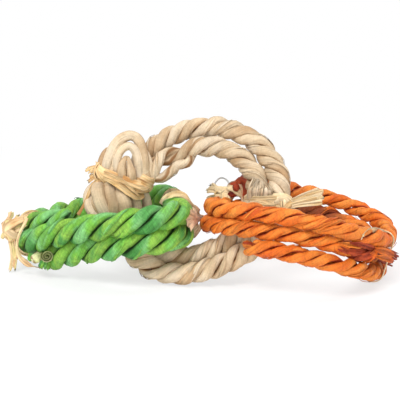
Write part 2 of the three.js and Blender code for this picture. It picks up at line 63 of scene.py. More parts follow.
ahead = np.array((0, math.cos(ELEVATION), -math.sin(ELEVATION)))
level_up = np.array((0, math.sin(ELEVATION), math.cos(ELEVATION)))
level_right = np.array((1.0, 0, 0))
camera_right = math.cos(ROLL) * level_right + math.sin(ROLL) * level_up
camera_up = math.cos(ROLL) * level_up - math.sin(ROLL) * level_right
eye = TARGET - DISTANCE * ahead


def looking(right, up, toward, place):
    """The matrix of a camera or lamp at a place in metres"""
    return Matrix([[right[i], up[i], -toward[i], place[i]] for i in range(3)] + [[0, 0, 0, 1]])


def add_camera():
    data = bpy.data.cameras.new("camera")
    data.lens = LENS
    data.sensor_width = SENSOR
    data.shift_y = SHIFT_UP
    data.clip_start = 0.01
    data.clip_end = 50
    camera = bpy.data.objects.new("camera", data)
    camera.matrix_world = looking(camera_right, camera_up, ahead, eye * MM)
    bpy.context.collection.objects.link(camera)
    bpy.context.scene.camera = camera


add_camera()
bpy.context.scene.view_settings.view_transform = "Standard"

# The three rings, each a rope that goes round an oval, one turn beside the other.
# rope: its width. across, deep: half sizes of the oval. oval, corner: waves that push it outward. saddle: a
# wave that lifts it. start: bearing of its first end. sign: side to which its turns stack. lean: tips their
# row. weave: sways it. drawn: pulls the end turns in. dent: how deep a neighbour presses in, where, and over
# how many degrees. tilt, order, place: how the ring is turned and set down.
# The gap between turns is a length, and the end turns are pulled in over a share of a turn.
TURN_GAP = 0.7
DRAWN_IN_REACH = 0.22
RINGS = {
    "natural": dict(
        rope=9.1, across=37.9, deep=29.0, oval=(-2.5, 2.6), corner=(0.1, -1.1), saddle=(2.1, -1.5),
        start=163, turns=2.0, lean=80.7, sign=-1, weave=3.4, drawn=0.3, dent=(6.5, 224, 21),
        tilt=(63.2, 0, -9.7), order="zyx", place=(-2.700, -1.507, 37.87)),
    "green": dict(
        rope=9.6, across=41.1, deep=29.1, oval=(-1.9, -1.8), corner=(-1.2, -3.3), saddle=(-1.3, 0.3),
        start=208, turns=2.14, lean=1.6, sign=1, weave=2.1, drawn=0, dent=(4.8, 16, 30),
        tilt=(-8.9, -10.5, -22.3), order="yxz", place=(-41.531, 7.169, 22.52)),
    "orange": dict(
        rope=7.2, across=40.7, deep=38.8, oval=(-0.6, 4.6), corner=(-3.2, -0.8), saddle=(-2.9, 0.3),
        start=215, turns=2.85, lean=2.9, sign=1, weave=-2.0, drawn=0, dent=(0, 0, 20),
        tilt=(-6.2, 13.2, -2.8), order="yxz", place=(48.269, -2.482, 22.719)),
}
# A small share of a turn: the step for directions along a rope, and how far past its end a tie holds it
NEAR_TURN = 1 / 48
# The bearing of each ring's ties
TIES = {
    "natural": {"left": 167, "right": 355},
    "green": {"left": 210, "right": 50},
    "orange": {"left": 153, "right": 337},
}


def turning(axis, degrees):
    c, s = math.cos(math.radians(degrees)), math.sin(math.radians(degrees))
    rows = {"x": [[1, 0, 0], [0, c, -s], [0, s, c]],
            "y": [[c, 0, s], [0, 1, 0], [-s, 0, c]],
            "z": [[c, -s, 0], [s, c, 0], [0, 0, 1]]}
    return np.array(rows[axis])


for ring in RINGS.values():
    angles = dict(zip("xyz", ring["tilt"]))
    ring["turned"] = np.linalg.multi_dot([turning(axis, angles[axis]) for axis in ring["order"]])


def to_world(ring, points):
    return points @ ring["turned"].T + np.array(ring["place"])


def to_ring(ring, points):
    return (points - np.array(ring["place"])) @ ring["turned"]


def smooth(low, high, value):
    share = np.clip((value - low) / (high - low), 0, 1)
    return share * share * (3 - 2 * share)


def unit(vectors):
    return vectors / np.maximum(np.linalg.norm(vectors, axis=-1, keepdims=True), 1e-9)


def dot(a, b):
    return np.sum(a * b, axis=-1, keepdims=True)


def square_to(ways, along):
    """The part of ways that is square to along, at unit length"""
    return unit(ways - dot(ways, along) * along)


def way_at(angle, first, second):
    """Ways at an angle from the first way towards the second"""
    return np.cos(angle)[..., None] * first + np.sin(angle)[..., None] * second


def ways_round(line, facing):
    """The ways along, out of and sideways from each point of a line"""
    along = unit(np.gradient(line, axis=0))
    facing = square_to(facing, along)
    return along, facing, np.cross(along, facing)


def length_run(line):
    """The length from a line's start to each of its points"""
    return np.concatenate([[0], np.cumsum(np.linalg.norm(np.diff(line, axis=0), axis=1))])


def spread_along(line, values, at=None):
    """Values for each point of a line, given evenly along it or at some shares of it"""
    if at is None:
        at = np.linspace(0, 1, len(values))
    return np.interp(np.linspace(0, 1, len(line)), at, values)


def beats_round(wave, beats, angle):
    return wave[0] * np.cos(beats * angle) + wave[1] * np.sin(beats * angle)


def rope_points(ring, turn):
    turn = np.asarray(turn, float)
    angle = math.radians(ring["start"]) + TAU * turn
    half = ring["turns"] / 2
    level = turn - half
    level = level * (1 - ring["drawn"] * smooth(half - DRAWN_IN_REACH, half, np.abs(level)))
    stack = ring["sign"] * (ring["rope"] + TURN_GAP) * level
    weave = ring["weave"] * np.cos(math.pi * (turn - half))
    lean = math.radians(ring["lean"])
    oval = beats_round(ring["oval"], 2, angle)
    corner = beats_round(ring["corner"], 3, angle)
    saddle = beats_round(ring["saddle"], 2, angle)
    inward, bearing, reach = ring["dent"]
    past = ((np.degrees(angle) - bearing + 180) % 360 - 180) / reach
    drift = stack * math.sin(lean) + weave * math.cos(lean) + oval + corner - inward * np.exp(-past * past)
    height = stack * math.cos(lean) - weave * math.sin(lean) + saddle
    return np.stack([
        (ring["across"] + drift) * np.cos(angle), (ring["deep"] + drift) * np.sin(angle), height], -1)


def rope_frames(ring, turn):
    turn = np.asarray(turn, float)
    along = unit(rope_points(ring, turn + NEAR_TURN) - rope_points(ring, turn - NEAR_TURN))
    angle = math.radians(ring["start"]) + TAU * turn
    outward = np.stack([np.cos(angle), np.sin(angle), np.zeros_like(angle)], -1)
    outward = square_to(outward, along)
    return outward, along, np.cross(outward, along)


# Each octave of the noise is finer and fainter than the one before, and has two sines
OCTAVES = 3
FINER = 1.9
FAINTER = 0.6
SINE_RATES = (1, 0.618)
NOISE_SCALE = 2.6


def waves(seed, value, size, loop=None):
    """Smooth noise made of sines, the same on every run. With loop it repeats after that length."""
    source = np.random.default_rng(seed)
    total = np.zeros_like(np.asarray(value, float))
    for octave in range(OCTAVES):
        for sine_rate in SINE_RATES:
            rate = TAU / size * sine_rate * FINER ** octave * source.uniform(0.85, 1.15)
            if loop is not None:
                rate = TAU / loop * max(1, round(rate * loop / TAU))
            total += np.sin(rate * value + source.uniform(0, TAU)) * FAINTER ** octave
    return total / NOISE_SCALE


def linear(red, green, blue):
    return np.array([(c / 255) ** 2.2 for c in (red, green, blue)])


def blend_colours(palette, share):
    share = np.clip(share, 0, 1) * (len(palette) - 1)
    low = np.minimum(share.astype(int), len(palette) - 2)
    part = (share - low)[..., None]
    table = np.array(palette)
    return table[low] * (1 - part) + table[low + 1] * part


# Meshes
class Skin:
    """Collects lofted surfaces with a colour and a place in the husk's own grain at each point"""

    def __init__(self):
        self.points, self.faces, self.tints, self.grains = [], [], [], []
        self.count = 0

    def loft(self, points, tints, grains, looped=False):
        rows, sides = points.shape[:2]
        index = np.arange(rows * sides).reshape(rows, sides) + self.count
        following = np.roll(index, -1, 0) if looped else index[1:]
        here = index if looped else index[:-1]
        quads = np.stack([here, np.roll(here, -1, 1), np.roll(following, -1, 1), following], -1)
        self.faces += quads.reshape(-1, 4).tolist()
        if not looped:
            self.faces.append(index[0][::-1].tolist())
            self.faces.append(index[-1].tolist())
        self.points.append(points.reshape(-1, 3))
        self.tints.append(np.broadcast_to(tints, points.shape).reshape(-1, 3))
        self.grains.append(grains.reshape(-1, 3))
        self.count += rows * sides

    def piece(self, name, ring, body, nodes, finish, shape=None):
        places = to_world(ring, np.concatenate(self.points))
        if shape is not None:
            places = shape(places)
        mesh = bpy.data.meshes.new(name)
        mesh.from_pydata((places * MM).tolist(), [], self.faces)
        tint = mesh.attributes.new("tint", "FLOAT_COLOR", "POINT")
        colours = np.concatenate(self.tints)
        colours = np.concatenate([colours, np.ones((len(colours), 1))], 1)
        tint.data.foreach_set("color", colours.astype(np.float32).ravel())
        grain = mesh.attributes.new("grain", "FLOAT_VECTOR", "POINT")
        grain.data.foreach_set("vector", np.concatenate(self.grains).astype(np.float32).ravel())
        mesh.polygons.foreach_set("use_smooth", [True] * len(mesh.polygons))
        mesh.materials.append(finish["material"])
        mesh.update()
        obj = bpy.data.objects.new(name, mesh)
        bpy.context.collection.objects.link(obj)
        make_outside_face_out(mesh)
        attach(obj, body)
        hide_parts(*nodes)


def make_outside_face_out(mesh):
    work = bmesh.new()
    work.from_mesh(mesh)
    bmesh.ops.recalc_face_normals(work, faces=work.faces)
    work.to_mesh(mesh)
    work.free()
    mesh.update()


# A strand's folds: how deep each steps, and its share in the leaf's colour
FOLDS = ((0.06, 0.5), (0.05, 0.3), (0.035, 0.2))
# Ridges along a strand: how many go round, and how high they are
RIDGES = ((4, 0.016), (7, 0.012), (9, 0.007))
# Painted shade: over which angle a strand's colour darkens where it dips behind its neighbours, and where
# its back clears again
SHADE_DARKENS_OVER = 0.45
SHADE_CLEARS = (2.3, 2.8)


def strand_outline(seed, angle, run, flat, folds):
    """How far a strand reaches at each point, and what its leaves add to its colour"""
    source = np.random.default_rng(seed)
    outline = 1 - flat * np.cos(2 * angle)
    leaf_share = np.zeros_like(angle)
    for fold, (depth, colour_share) in enumerate(FOLDS):
        turn = source.uniform(-1, 1) * TAU / 90 + TAU / 55 * (1 if fold % 2 else -1) * 0.35
        edge = source.uniform(-math.pi, math.pi) + turn * run + 0.5 * waves(seed + 5 + fold, run, 26)
        past = (angle - edge) % TAU
        step = depth * (0.7 + 0.5 * waves(seed + 11 + fold, run, 40))
        outline += folds * step * (past / TAU - 0.5) * 2
        leaf_share += (past < math.pi) * colour_share
    for ridge, (count, height) in enumerate(RIDGES):
        drift = source.uniform(0, TAU) + run * source.uniform(-0.05, 0.05)
        outline += folds * height * np.sin(count * angle + drift + 1.4 * waves(seed + 20 + ridge, run, 18))
    return outline, leaf_share


def strand(skin, centres, facing, radius, seed, colour, deep, sides=22, shaded_from=1.42, blunt=1.5, folds=1.0,
           flat=0.04, stain=None):
    """A strand of rolled husk. Its outline starts on the side away from its facing direction."""
    _, facing, sideways = ways_round(centres, facing)
    length = length_run(centres)
    radius = np.broadcast_to(radius, length.shape)
    swell = 1 + 0.05 * waves(seed + 1, length, 34) + 0.02 * waves(seed + 2, length, 7)
    ends = np.minimum(length, length[-1] - length)
    swell = swell * np.sqrt(np.clip(1 - (1 - np.clip(ends / blunt, 0.04, 1)) ** 2, 0, 1))
    theta = -math.pi + TAU * (np.arange(sides) + 0.5) / sides
    angle, run = np.meshgrid(theta, length)
    outline, leaf_share = strand_outline(seed, angle, run, flat, folds)
    reach = (radius * swell)[:, None] * outline
    points = centres[:, None] + reach[..., None] * way_at(angle, facing[:, None], sideways[:, None])
    tints = colour(seed, run, angle, leaf_share)
    if stain is not None:
        tints = tints * stain[:, None]
    # Painted shade: the colour darkens where the strand dips into the valleys behind its neighbours, and
    # clears again on its back
    behind = np.abs(angle)
    shade = smooth(shaded_from, shaded_from + SHADE_DARKENS_OVER, behind) * (1 - 0.9 * smooth(*SHADE_CLEARS, behind))
    shade = shade[..., None]
    tints = tints * (1 - shade + shade * deep)
    grains = np.stack([run, angle * radius[:, None], np.full_like(run, seed * 3.7)], -1)
    skin.loft(points, tints, grains)


def flakes(skin, centres, facing, radius, seed, colour, count):
    """Edges of husk that lift a little from a strand"""
    source = np.random.default_rng(seed + 900)
    tangent, facing, sideways = ways_round(centres, facing)
    for i in range(count):
        rows = int(source.uniform(6, 13))
        first = int(source.uniform(2, len(centres) - rows - 2))
        part = slice(first, first + rows)
        share = np.linspace(0, 1, rows)
        angle = source.uniform(-1.25, 1.25) + source.uniform(-0.5, 0.5) * share
        lift = 0.12 + source.uniform(0.1, 0.55) * share ** 2
        way = way_at(angle, facing[part], sideways[part])
        line = centres[part] + (radius[part] * 1.02 + lift)[:, None] * way
        broad = np.cross(way, tangent[part])
        taper = (0.35 + 1.2 * share * (1 - share) * 2) * (1 - 0.75 * share ** 3)
        width = source.uniform(1.0, 2.4) * taper
        ribbon(skin, line, broad, width, seed + 901 + i, colour, thickness=0.22, across=5, crease=0.06,
               ragged=0.5)


def husk_colours(palette, spread=0.32):
    """Colours of dyed husk: each leaf has its own place in the palette, which drifts along the strand"""
    def colour(seed, run, angle, leaf_share):
        own = np.random.default_rng(seed + 77).uniform(0.2, 0.8)
        share = own + (leaf_share - 0.5) * spread + 0.32 * waves(seed + 41, run, 42)
        share = share + 0.12 * waves(seed + 43, run + 3 * np.sin(angle), 13)
        return blend_colours(palette, share)
    return colour


# Places and paths
def seen_at(ring, middle, spots):
    """Points in a ring's frame at picture places x, y that lie some millimetres nearer than the middle"""
    spots = np.array(spots, float)
    rays = ahead + (spots[:, :1] - AIM_X) / FOCAL * camera_right
    rays = rays + (AIM_Y - spots[:, 1:2]) / FOCAL * camera_up
    depth = (to_world(ring, middle) - eye) @ ahead - spots[:, 2]
    return to_ring(ring, eye + rays * depth[:, None])


CURVE_STEPS = 24


def curve(points, step=0.6):
    """A smooth line through points, resampled evenly"""
    points = np.asarray(points, float)
    padded = np.concatenate([2 * points[:1] - points[1:2], points, 2 * points[-1:] - points[-2:-1]])
    parts = []
    for i in range(len(points) - 1):
        a, b, c, d = padded[i:i + 4]
        t = np.linspace(0, 1, CURVE_STEPS, endpoint=False)[:, None]
        parts.append(0.5 * (2 * b + (c - a) * t + (2 * a - 5 * b + 4 * c - d) * t ** 2
                            + (3 * b - a - 3 * c + d) * t ** 3))
    return evenly(np.concatenate(parts + [points[-1:]]), step)


def evenly(dense, step):
    length = length_run(dense)
    run = np.linspace(0, length[-1], max(4, int(length[-1] / step) + 1))
    return np.stack([np.interp(run, length, dense[:, k]) for k in range(3)], -1)


def passes_at(ring, bearing):
    first = (bearing - ring["start"]) / 360
    turn = first - math.floor(first + NEAR_TURN)
    turns = []
    while turn <= ring["turns"] + NEAR_TURN:
        turns.append(min(max(turn, 0), ring["turns"]))
        turn += 1
    return turns


def station(key, side, from_turn=0):
    """Where a tie is: the ropes it binds, their middle and the frame of the middle one"""
    ring = RINGS[key]
    turns = np.array([turn for turn in passes_at(ring, TIES[key][side]) if turn >= from_turn])
    ropes = rope_points(ring, turns)
    outward, along, axial = rope_frames(ring, turns[len(turns) // 2])
    return dict(turns=turns, ropes=ropes, middle=ropes.mean(axis=0), outward=outward, along=along,
                axial=axial, half=ring["rope"] / 2)


WRAP_POINTS = 720


def wrap(place, clear):
    """The line of a wrap round the ropes of a tie"""
    angle = np.radians(np.linspace(0, 360, WRAP_POINTS))
    facing = way_at(angle, place["outward"], place["axial"])
    offsets = place["ropes"] - place["middle"]
    offsets = offsets - dot(offsets, place["along"]) * place["along"]
    best = np.argmax(facing @ offsets.T, axis=1)
    return place["middle"] + offsets[best] + facing * (place["half"] + clear)


# Strips of husk
def strip_colours(palette, shade=1.0):
    def colour(seed, run, side):
        own = np.random.default_rng(seed + 5).uniform(0.25, 0.75)
        share = own + 0.3 * waves(seed + 3, run, 22) + 0.22 * waves(seed + 4, side * 3 + 0.03 * run, 1.6)
        return blend_colours(palette, share) * shade
    return colour


# Creases along a strip: how many cross its half width, and how high they are
CREASES = ((2.2, 0.5), (4.3, 0.35), (7.1, 0.22))


def strip_relief(seed, side, run, loop, crease, curl):
    """How high a strip's face stands at each point, from its creases and its curl"""
    source = np.random.default_rng(seed)
    relief = np.zeros_like(side)
    for count, height in CREASES:
        drift = source.uniform(0, TAU) + 1.1 * waves(seed + int(count * 10), run, 14, loop=loop)
        relief += height * np.sin(count * side + drift)
    return crease * relief + curl * (side * side - 0.35)


def ribbon(skin, path, broad, width, seed, colour, thickness=0.4, across=9, crease=0.25, curl=0.0,
           ragged=0.0, looped=False):
    """A strip of husk with creases along it. Its side goes from -1 at one edge to 1 at the other."""
    path = np.asarray(path, float)
    if looped:
        tangent = unit(np.roll(path, -1, 0) - np.roll(path, 1, 0))
    else:
        tangent = unit(np.gradient(path, axis=0))
    broad = square_to(np.broadcast_to(broad, path.shape), tangent)
    over = np.cross(tangent, broad)
    length = length_run(path)
    total = length[-1] + (np.linalg.norm(path[0] - path[-1]) if looped else 0)
    loop = total if looped else None
    side, run = np.meshgrid(np.linspace(-1, 1, across), length)
    half = np.broadcast_to(width, length.shape)[:, None] / 2
    edge = 1 + 0.10 * waves(seed + 1, run, 8, loop=loop) * np.sign(side)
    edge = edge + 0.05 * waves(seed + 2, run, 3, loop=loop)
    relief = strip_relief(seed, side, run, loop, crease, curl)
    if not looped:
        ends = np.minimum(run, total - run) / max(total, 1e-6)
        relief = relief * (0.4 + 0.6 * smooth(0, 0.15, ends))
    base = path[:, None] + (half * edge * side)[..., None] * broad[:, None]
    if ragged:
        torn = waves(seed + 31, side * 4.0, 2.1) * ragged
        base = base + (torn * smooth(0.6, 1, run / total))[..., None] * tangent[:, None]
    thick = thickness / 2 * np.sqrt(1.05 - side * side)
    top = base + (relief + thick)[..., None] * over[:, None]
    under = base + (relief - thick)[..., None] * over[:, None]
    points = np.concatenate([top, under[:, ::-1]], axis=1)
    tints = colour(seed, run, side)
    # Painted shade and highlight: the colour is darker in a strip's creases and lighter on their ridges
    tints = tints * (0.93 + 0.35 * np.clip(relief / max(crease, 0.05), -0.8, 0.4))[..., None]
    tints = np.concatenate([tints, tints[:, ::-1] * 0.9], axis=1)
    grain = np.stack([run, half * side, np.full_like(run, seed * 1.7)], -1)
    grain = np.concatenate([grain, grain[:, ::-1] + (0, 7, 0)], axis=1)
    skin.loft(points, tints, grain, looped=looped)


def tassel(skin, path, broad, root_width, tip_width, count, seed, colour, ragged=1.6, lift=0.35):
    """A frayed tail: narrow strips side by side that part towards the tip"""
    source = np.random.default_rng(seed)
    broad = np.broadcast_to(broad, path.shape)
    tangent = unit(np.gradient(path, axis=0))
    over = unit(np.cross(tangent, broad))
    share = np.linspace(0, 1, len(path))[:, None]
    spread = root_width + (tip_width - root_width) * share
    for i in range(count):
        offset = (i + 0.5) / count * 2 - 1
        keep = max(5, int(len(path) * source.uniform(0.84, 1.0)))
        bend = source.uniform(-1, 1) * lift * 1.6 * share ** 1.5
        line = path + broad * offset * spread / 2 * 0.86 + over * (bend + lift * (i % 2) * (0.3 + share))
        width = spread[:, 0] / count * source.uniform(1.35, 1.85)
        tipped = broad + over * source.uniform(-0.35, 0.35)
        torn = ragged * source.uniform(0.6, 1.2)
        ribbon(skin, line[:keep], tipped[:keep], width[:keep], seed + 13 * i + 1, colour, thickness=0.35,
               across=5, crease=0.16, ragged=torn)


def band(skin, place, wraps, seed, colour, skew=0.0, crease=0.22):
    """Strips wound round a hank. Each wrap: offset along the rope, width, how far clear, and its slant"""
    for i, (offset, width, clear, slant) in enumerate(wraps):
        line = wrap(place, clear) - place["middle"]
        lean = (line @ place["outward"])[:, None] * (skew + slant)
        swing = 0.35 * waves(seed + 50 + i, np.arange(float(WRAP_POINTS)), 300, loop=WRAP_POINTS)[:, None]
        line = place["middle"] + line + place["along"] * (offset + lean + swing)
        line = evenly(np.concatenate([line, line[:1]]), 0.7)[:-1]
        ribbon(skin, line, place["along"], width, seed + 17 * i, colour, thickness=0.5, crease=crease,
               looped=True)


def knot(skin, centre, axes, sizes, seed, colour, wraps=((25, 0.5), (105, 0.45), (160, 0.4))):
    """A lump of gathered husk with strips drawn tight over it. Each wrap: bearing and share of the size"""
    long_way, wide_way, near_way = (way * size for way, size in zip(axes, sizes))
    tilts = np.linspace(0.12, math.pi - 0.12, 15)
    tilt, around = np.meshgrid(tilts, np.linspace(0, TAU, 26, endpoint=False), indexing="ij")
    pleats = 1 + 0.09 * np.sin(5 * around + 2 * tilt + seed) + 0.05 * np.sin(9 * around - tilt)
    points = centre + np.cos(tilt)[..., None] * long_way + (np.sin(tilt) * pleats)[..., None] * way_at(
        around, wide_way, near_way)
    # Painted shade: the lump's colour darkens in the hollows between its pleats
    tints = colour(seed, tilt * 4, np.sin(around)) * (0.55 + 0.45 * smooth(0.9, 1.1, pleats))[..., None]
    grain = np.stack([tilt * sizes[0], around * sizes[1], np.full_like(tilt, seed)], -1)
    skin.loft(points, tints, grain)
    angle = np.linspace(0, TAU, 40, endpoint=False)
    for i, (degrees, share) in enumerate(wraps):
        bearing = math.radians(degrees)
        way = math.cos(bearing) * wide_way + math.sin(bearing) * near_way
        line = centre + 1.12 * way_at(angle, long_way, way)
        ribbon(skin, line, np.cross(axes[0], unit(way)), share * 2 * min(sizes), seed + 60 + i, colour,
               thickness=0.5, across=7, crease=0.18, looped=True)


# Materials
class Graph:
    """The shader nodes of a material or of the world"""

    def __init__(self, owner):
        owner.use_nodes = True
        self.nodes, self.links = owner.node_tree.nodes, owner.node_tree.links
        self.nodes.clear()

    def add(self, kind, inputs, **settings):
        """A node. Each of its inputs is a plain value or the output of another node."""
        node = self.nodes.new(f"ShaderNode{kind}")
        for name, value in settings.items():
            setattr(node, name, value)
        for name, value in inputs.items():
            if isinstance(value, bpy.types.NodeSocket):
                self.links.new(value, node.inputs[name])
            else:
                node.inputs[name].default_value = value
        return node

    def math(self, operation, a, b):
        return self.add("Math", {0: a, 1: b}, operation=operation).outputs[0]

    def remap(self, value, low, high, to_low, to_high, **settings):
        inputs = {"Value": value, "From Min": low, "From Max": high, "To Min": to_low, "To Max": to_high}
        return self.add("MapRange", inputs, **settings).outputs["Result"]

    def noise(self, grain, scale, detail, rough, distortion=0.0):
        mapping = self.add("Mapping", {"Vector": grain, "Scale": (*scale, 1)})
        inputs = {"Vector": mapping.outputs[0], "Scale": 1, "Detail": detail, "Roughness": rough,
                  "Distortion": distortion}
        return self.add("TexNoise", inputs).outputs["Fac"]


# Noises in a husk's grain: scale along and across it, detail, roughness and distortion
FIBRES = ((0.09, 1.9), 6, 0.62, 0.3)
LONG_CREASES = ((0.05, 0.75), 3, 0.5, 0.8)
WRINKLES = ((1.35, 0.34), 4, 0.6, 0.7)
BLOTCHES = ((0.10, 0.16), 2, 0.5, 0.0)
FINE_FIBRES = ((0.35, 4.5), 3, 0.6, 0.0)


def husk_material(name, roughness, streak_and_crease_shade, wrinkle, sheen, relief, finer):
    material = bpy.data.materials.new(name)
    graph = Graph(material)
    tint = graph.add("Attribute", {}, attribute_name="tint").outputs["Color"]
    grain = graph.add("Attribute", {}, attribute_name="grain").outputs["Vector"]
    fibres, creases, wrinkles, blotches, fine = (
        graph.noise(grain, [size * finer for size in scale], *rest)
        for scale, *rest in (FIBRES, LONG_CREASES, WRINKLES, BLOTCHES, FINE_FIBRES))

    light = graph.remap(fibres, 0.28, 0.72, 1 - streak_and_crease_shade, 1 + streak_and_crease_shade * 0.55)
    # Painted shade: the colour darkens along the long creases, where the bump sinks in
    light = graph.math("MULTIPLY", light, graph.remap(creases, 0.30, 0.46, 1 - streak_and_crease_shade * 0.9, 1))
    # Painted shade and highlight: the wrinkles darken the colour in their troughs and lighten it on their
    # crests
    folded = graph.remap(wrinkles, 0.3, 0.7, 1 - wrinkle * 0.22, 1 + wrinkle * 0.16)
    light = graph.math("MULTIPLY", light, folded)
    light = graph.math("MULTIPLY", light, graph.remap(blotches, 0.3, 0.7, 0.88, 1.1))
    colour = graph.add("VectorMath", {0: tint, "Scale": light}, operation="SCALE").outputs[0]

    height = graph.math("MULTIPLY", fibres, 0.9)
    height = graph.math("ADD", height, graph.math("MULTIPLY", wrinkles, wrinkle * 1.1))
    height = graph.math("ADD", height, graph.math("MULTIPLY", creases, 1.3))
    height = graph.math("ADD", height, graph.math("MULTIPLY", fine, 0.3))
    bump = graph.add("Bump", {"Strength": 1, "Distance": relief * MM, "Height": height}).outputs[0]

    rough = graph.remap(fibres, 0.3, 0.7, roughness + 0.12, roughness - 0.1)
    shader = graph.add("BsdfPrincipled", {
        "Base Color": colour, "Normal": bump, "Roughness": rough, "Specular IOR Level": 0.35,
        "Sheen Weight": sheen, "Sheen Roughness": 0.5})
    graph.add("OutputMaterial", {0: shader.outputs[0]})
    return material


# Painted shade: what a strand's colour is multiplied by in the valleys between a rope's strands
NATURAL_VALLEY_SHADE = np.array((0.42, 0.27, 0.15))
EYE_VALLEY_SHADE = np.array((0.66, 0.54, 0.42))
GREEN_VALLEY_SHADE = np.array((0.07, 0.13, 0.04))
ORANGE_VALLEY_SHADE = np.array((0.42, 0.15, 0.07))


def finished(name, slot, tones, roughness=0.6, streak_and_crease_shade=0.28, wrinkle=0.3, sheen=0.1, relief=0.35, finer=1.3,
             deep=NATURAL_VALLEY_SHADE):
    """The tones, painted shade in the valleys, material and slot of a kind of husk"""
    material = husk_material(f"{name}_husk", roughness, streak_and_crease_shade, wrinkle, sheen, relief, finer)
    return dict(tones=[linear(*tone) for tone in tones], deep=deep, material=material, slot=slot)


# Kinds of husk. tones: the colours that it drifts through. deep: the painted shade in its valleys, what they
# are multiplied by. The streak and crease shade setting: how strongly its streaks and the painted shade in
# its creases
# show. wrinkle: how strongly its wrinkles show, in relief and as painted shade and highlight. relief: the
# height of
# its grain. finer: how fine that is.
KINDS = {
    "natural": dict(
        slot="natural_husk", roughness=0.66, streak_and_crease_shade=0.2, wrinkle=0.5, sheen=0, relief=0.45, finer=1,
        tones=((184, 150, 112), (202, 174, 138), (216, 192, 158), (224, 203, 174), (208, 182, 146))),
    "green": dict(
        slot="green_husk", deep=GREEN_VALLEY_SHADE, roughness=0.52, streak_and_crease_shade=0.26, wrinkle=1.5, sheen=0, relief=0.6,
        finer=1,
        tones=((66, 138, 58), (92, 166, 84), (134, 200, 122), (112, 182, 64), (152, 200, 78),
               (80, 152, 68))),
    "orange": dict(
        slot="orange_husk", deep=ORANGE_VALLEY_SHADE, roughness=0.56, streak_and_crease_shade=0.24, wrinkle=1, sheen=0, relief=0.5,
        finer=1,
        tones=((204, 80, 18), (223, 103, 25), (234, 122, 38), (239, 142, 58), (226, 108, 29))),
    "tan": dict(
        slot="tan_tie", streak_and_crease_shade=0.3,
        tones=((208, 148, 84), (234, 184, 122), (248, 212, 158), (240, 194, 130), (224, 166, 94))),
    "pale": dict(
        slot="pale_tie", streak_and_crease_shade=0.22,
        tones=((230, 190, 130), (246, 216, 162), (252, 230, 188), (248, 220, 170))),
    "lime": dict(
        slot="lime_tie", streak_and_crease_shade=0.25, wrinkle=0.4,
        tones=((206, 160, 108), (240, 196, 146), (248, 216, 168), (226, 212, 140), (240, 188, 134))),
    "pink": dict(
        slot="pink_tie", wrinkle=0.4,
        tones=((206, 150, 112), (238, 190, 150), (250, 216, 180), (244, 206, 160), (222, 164, 122))),
    "red": dict(
        slot="red_husk", deep=ORANGE_VALLEY_SHADE, roughness=0.55, streak_and_crease_shade=0.35, wrinkle=0.5, relief=0.4, finer=1.2,
        tones=((96, 22, 6), (150, 48, 20), (190, 78, 36), (124, 34, 12))),
}
FINISHES = {name: finished(name, **kind) for name, kind in KINDS.items()}
NATURAL_TONES = FINISHES["natural"]["tones"]
PALE_TONES = FINISHES["pale"]["tones"]
CUT_TONES = [linear(*tone) for tone in ((170, 190, 100), (216, 220, 150), (240, 232, 184))]

# Ropes: three strands each, laid round the ring's rope line.
# strand: its width. flat: how flattened it is. lay: length of one twist. phase: where the twist begins.
# rough: how uneven it is. folds: how deep they are. floor: how far the rope would reach under the floor.
# drawn: where it is tight, as bearing, reach in degrees and share. starts, stops: by which shares of a turn
# the strands fall short of the rope's ends. flakes: how many lift from each strand.
STRANDS = 3
ROPE_STEP = 1.15
TABLE_ROWS = 6000
# How far a strand's middle lies from the rope's, as a share of its width, and how far a kink moves it
STRAND_REACH = 0.6
KINK = 0.24
ROPES = {
    "natural": dict(
        strand=4.9, flat=0.04, lay=24.0, phase=0.4, rough=1.6, folds=0.8, seed=100, floor=0.6,
        drawn=((167, 9, 0.14), (355, 9, 0.12), (95, 55, 0.07)),
        starts=(0, 0, 0), stops=(0, 0, 0), flakes=26),
    "green": dict(
        strand=5.8, flat=0.02, lay=34.5, phase=0.0, rough=1.0, folds=0.7, seed=300, floor=1.7,
        drawn=((210, 9, 0.12), (28, 30, 0.28), (50, 8, 0.12)),
        starts=(0.035, 0.0, 0.05), stops=(0.0, 0.025, 0.05), flakes=14),
    "orange": dict(
        strand=3.8, flat=0.08, lay=27.0, phase=0.9, rough=1.9, folds=1.0, seed=500, floor=0.4,
        drawn=((153, 9, 0.1), (335, 5, 0.06)), starts=(0.04, 0.05, 0.06), stops=(0, 0, 0.02), flakes=34),
}
# What would reach under the floor is pressed up into this height over it
FLOOR_REACH = 5.0
FLOOR_GAP = 0.05
# The last turn of the green rope sinks onto the turn under it, its end more than the rest, and is tighter
GREEN_SUNK = 2.4
GREEN_SUNK_TURNS = (1.86, 2.02)
GREEN_END_SUNK = 2.6
GREEN_SUNK_TIGHT = 0.12
# The green rope's first stretch is thinner: by which share, and until which turn
GREEN_THIN = 0.3
GREEN_THIN_UNTIL = 0.07
# Stretches where a rope's colour is darker: where each begins, is full, starts to clear and ends, and what
# it leaves
DARKER_STRETCHES = {
    "natural": (),
    "green": (((-0.2, -0.1, 0.045, 0.085), (0.30, 0.36, 0.30)),),
    "orange": (
        ((1.235, 1.275, 1.42, 1.5), (0.46, 0.20, 0.15)),
        ((1.555, 1.6, 1.655, 1.70), (0.34, 0.26, 0.42)),
        ((2.735, 2.775, 2.9, 3.0), (0.42, 0.20, 0.50)))}
# One strand of the natural rope hangs off it between these turns, and the others close up by a share
HANGING_STRAND = 1
HANGING_TURNS = (1.79, 1.835, 1.93, 1.97)
HANGING = 6.4
OTHERS_CLOSE_UP = 0.12


def green_sunk(turn):
    """How deep the last turn of the green rope sinks onto the one under it"""
    depth = GREEN_SUNK * smooth(*GREEN_SUNK_TURNS, turn)
    return (depth + GREEN_END_SUNK * smooth(GREEN_SUNK_TURNS[1], RINGS["green"]["turns"], turn))[..., None]


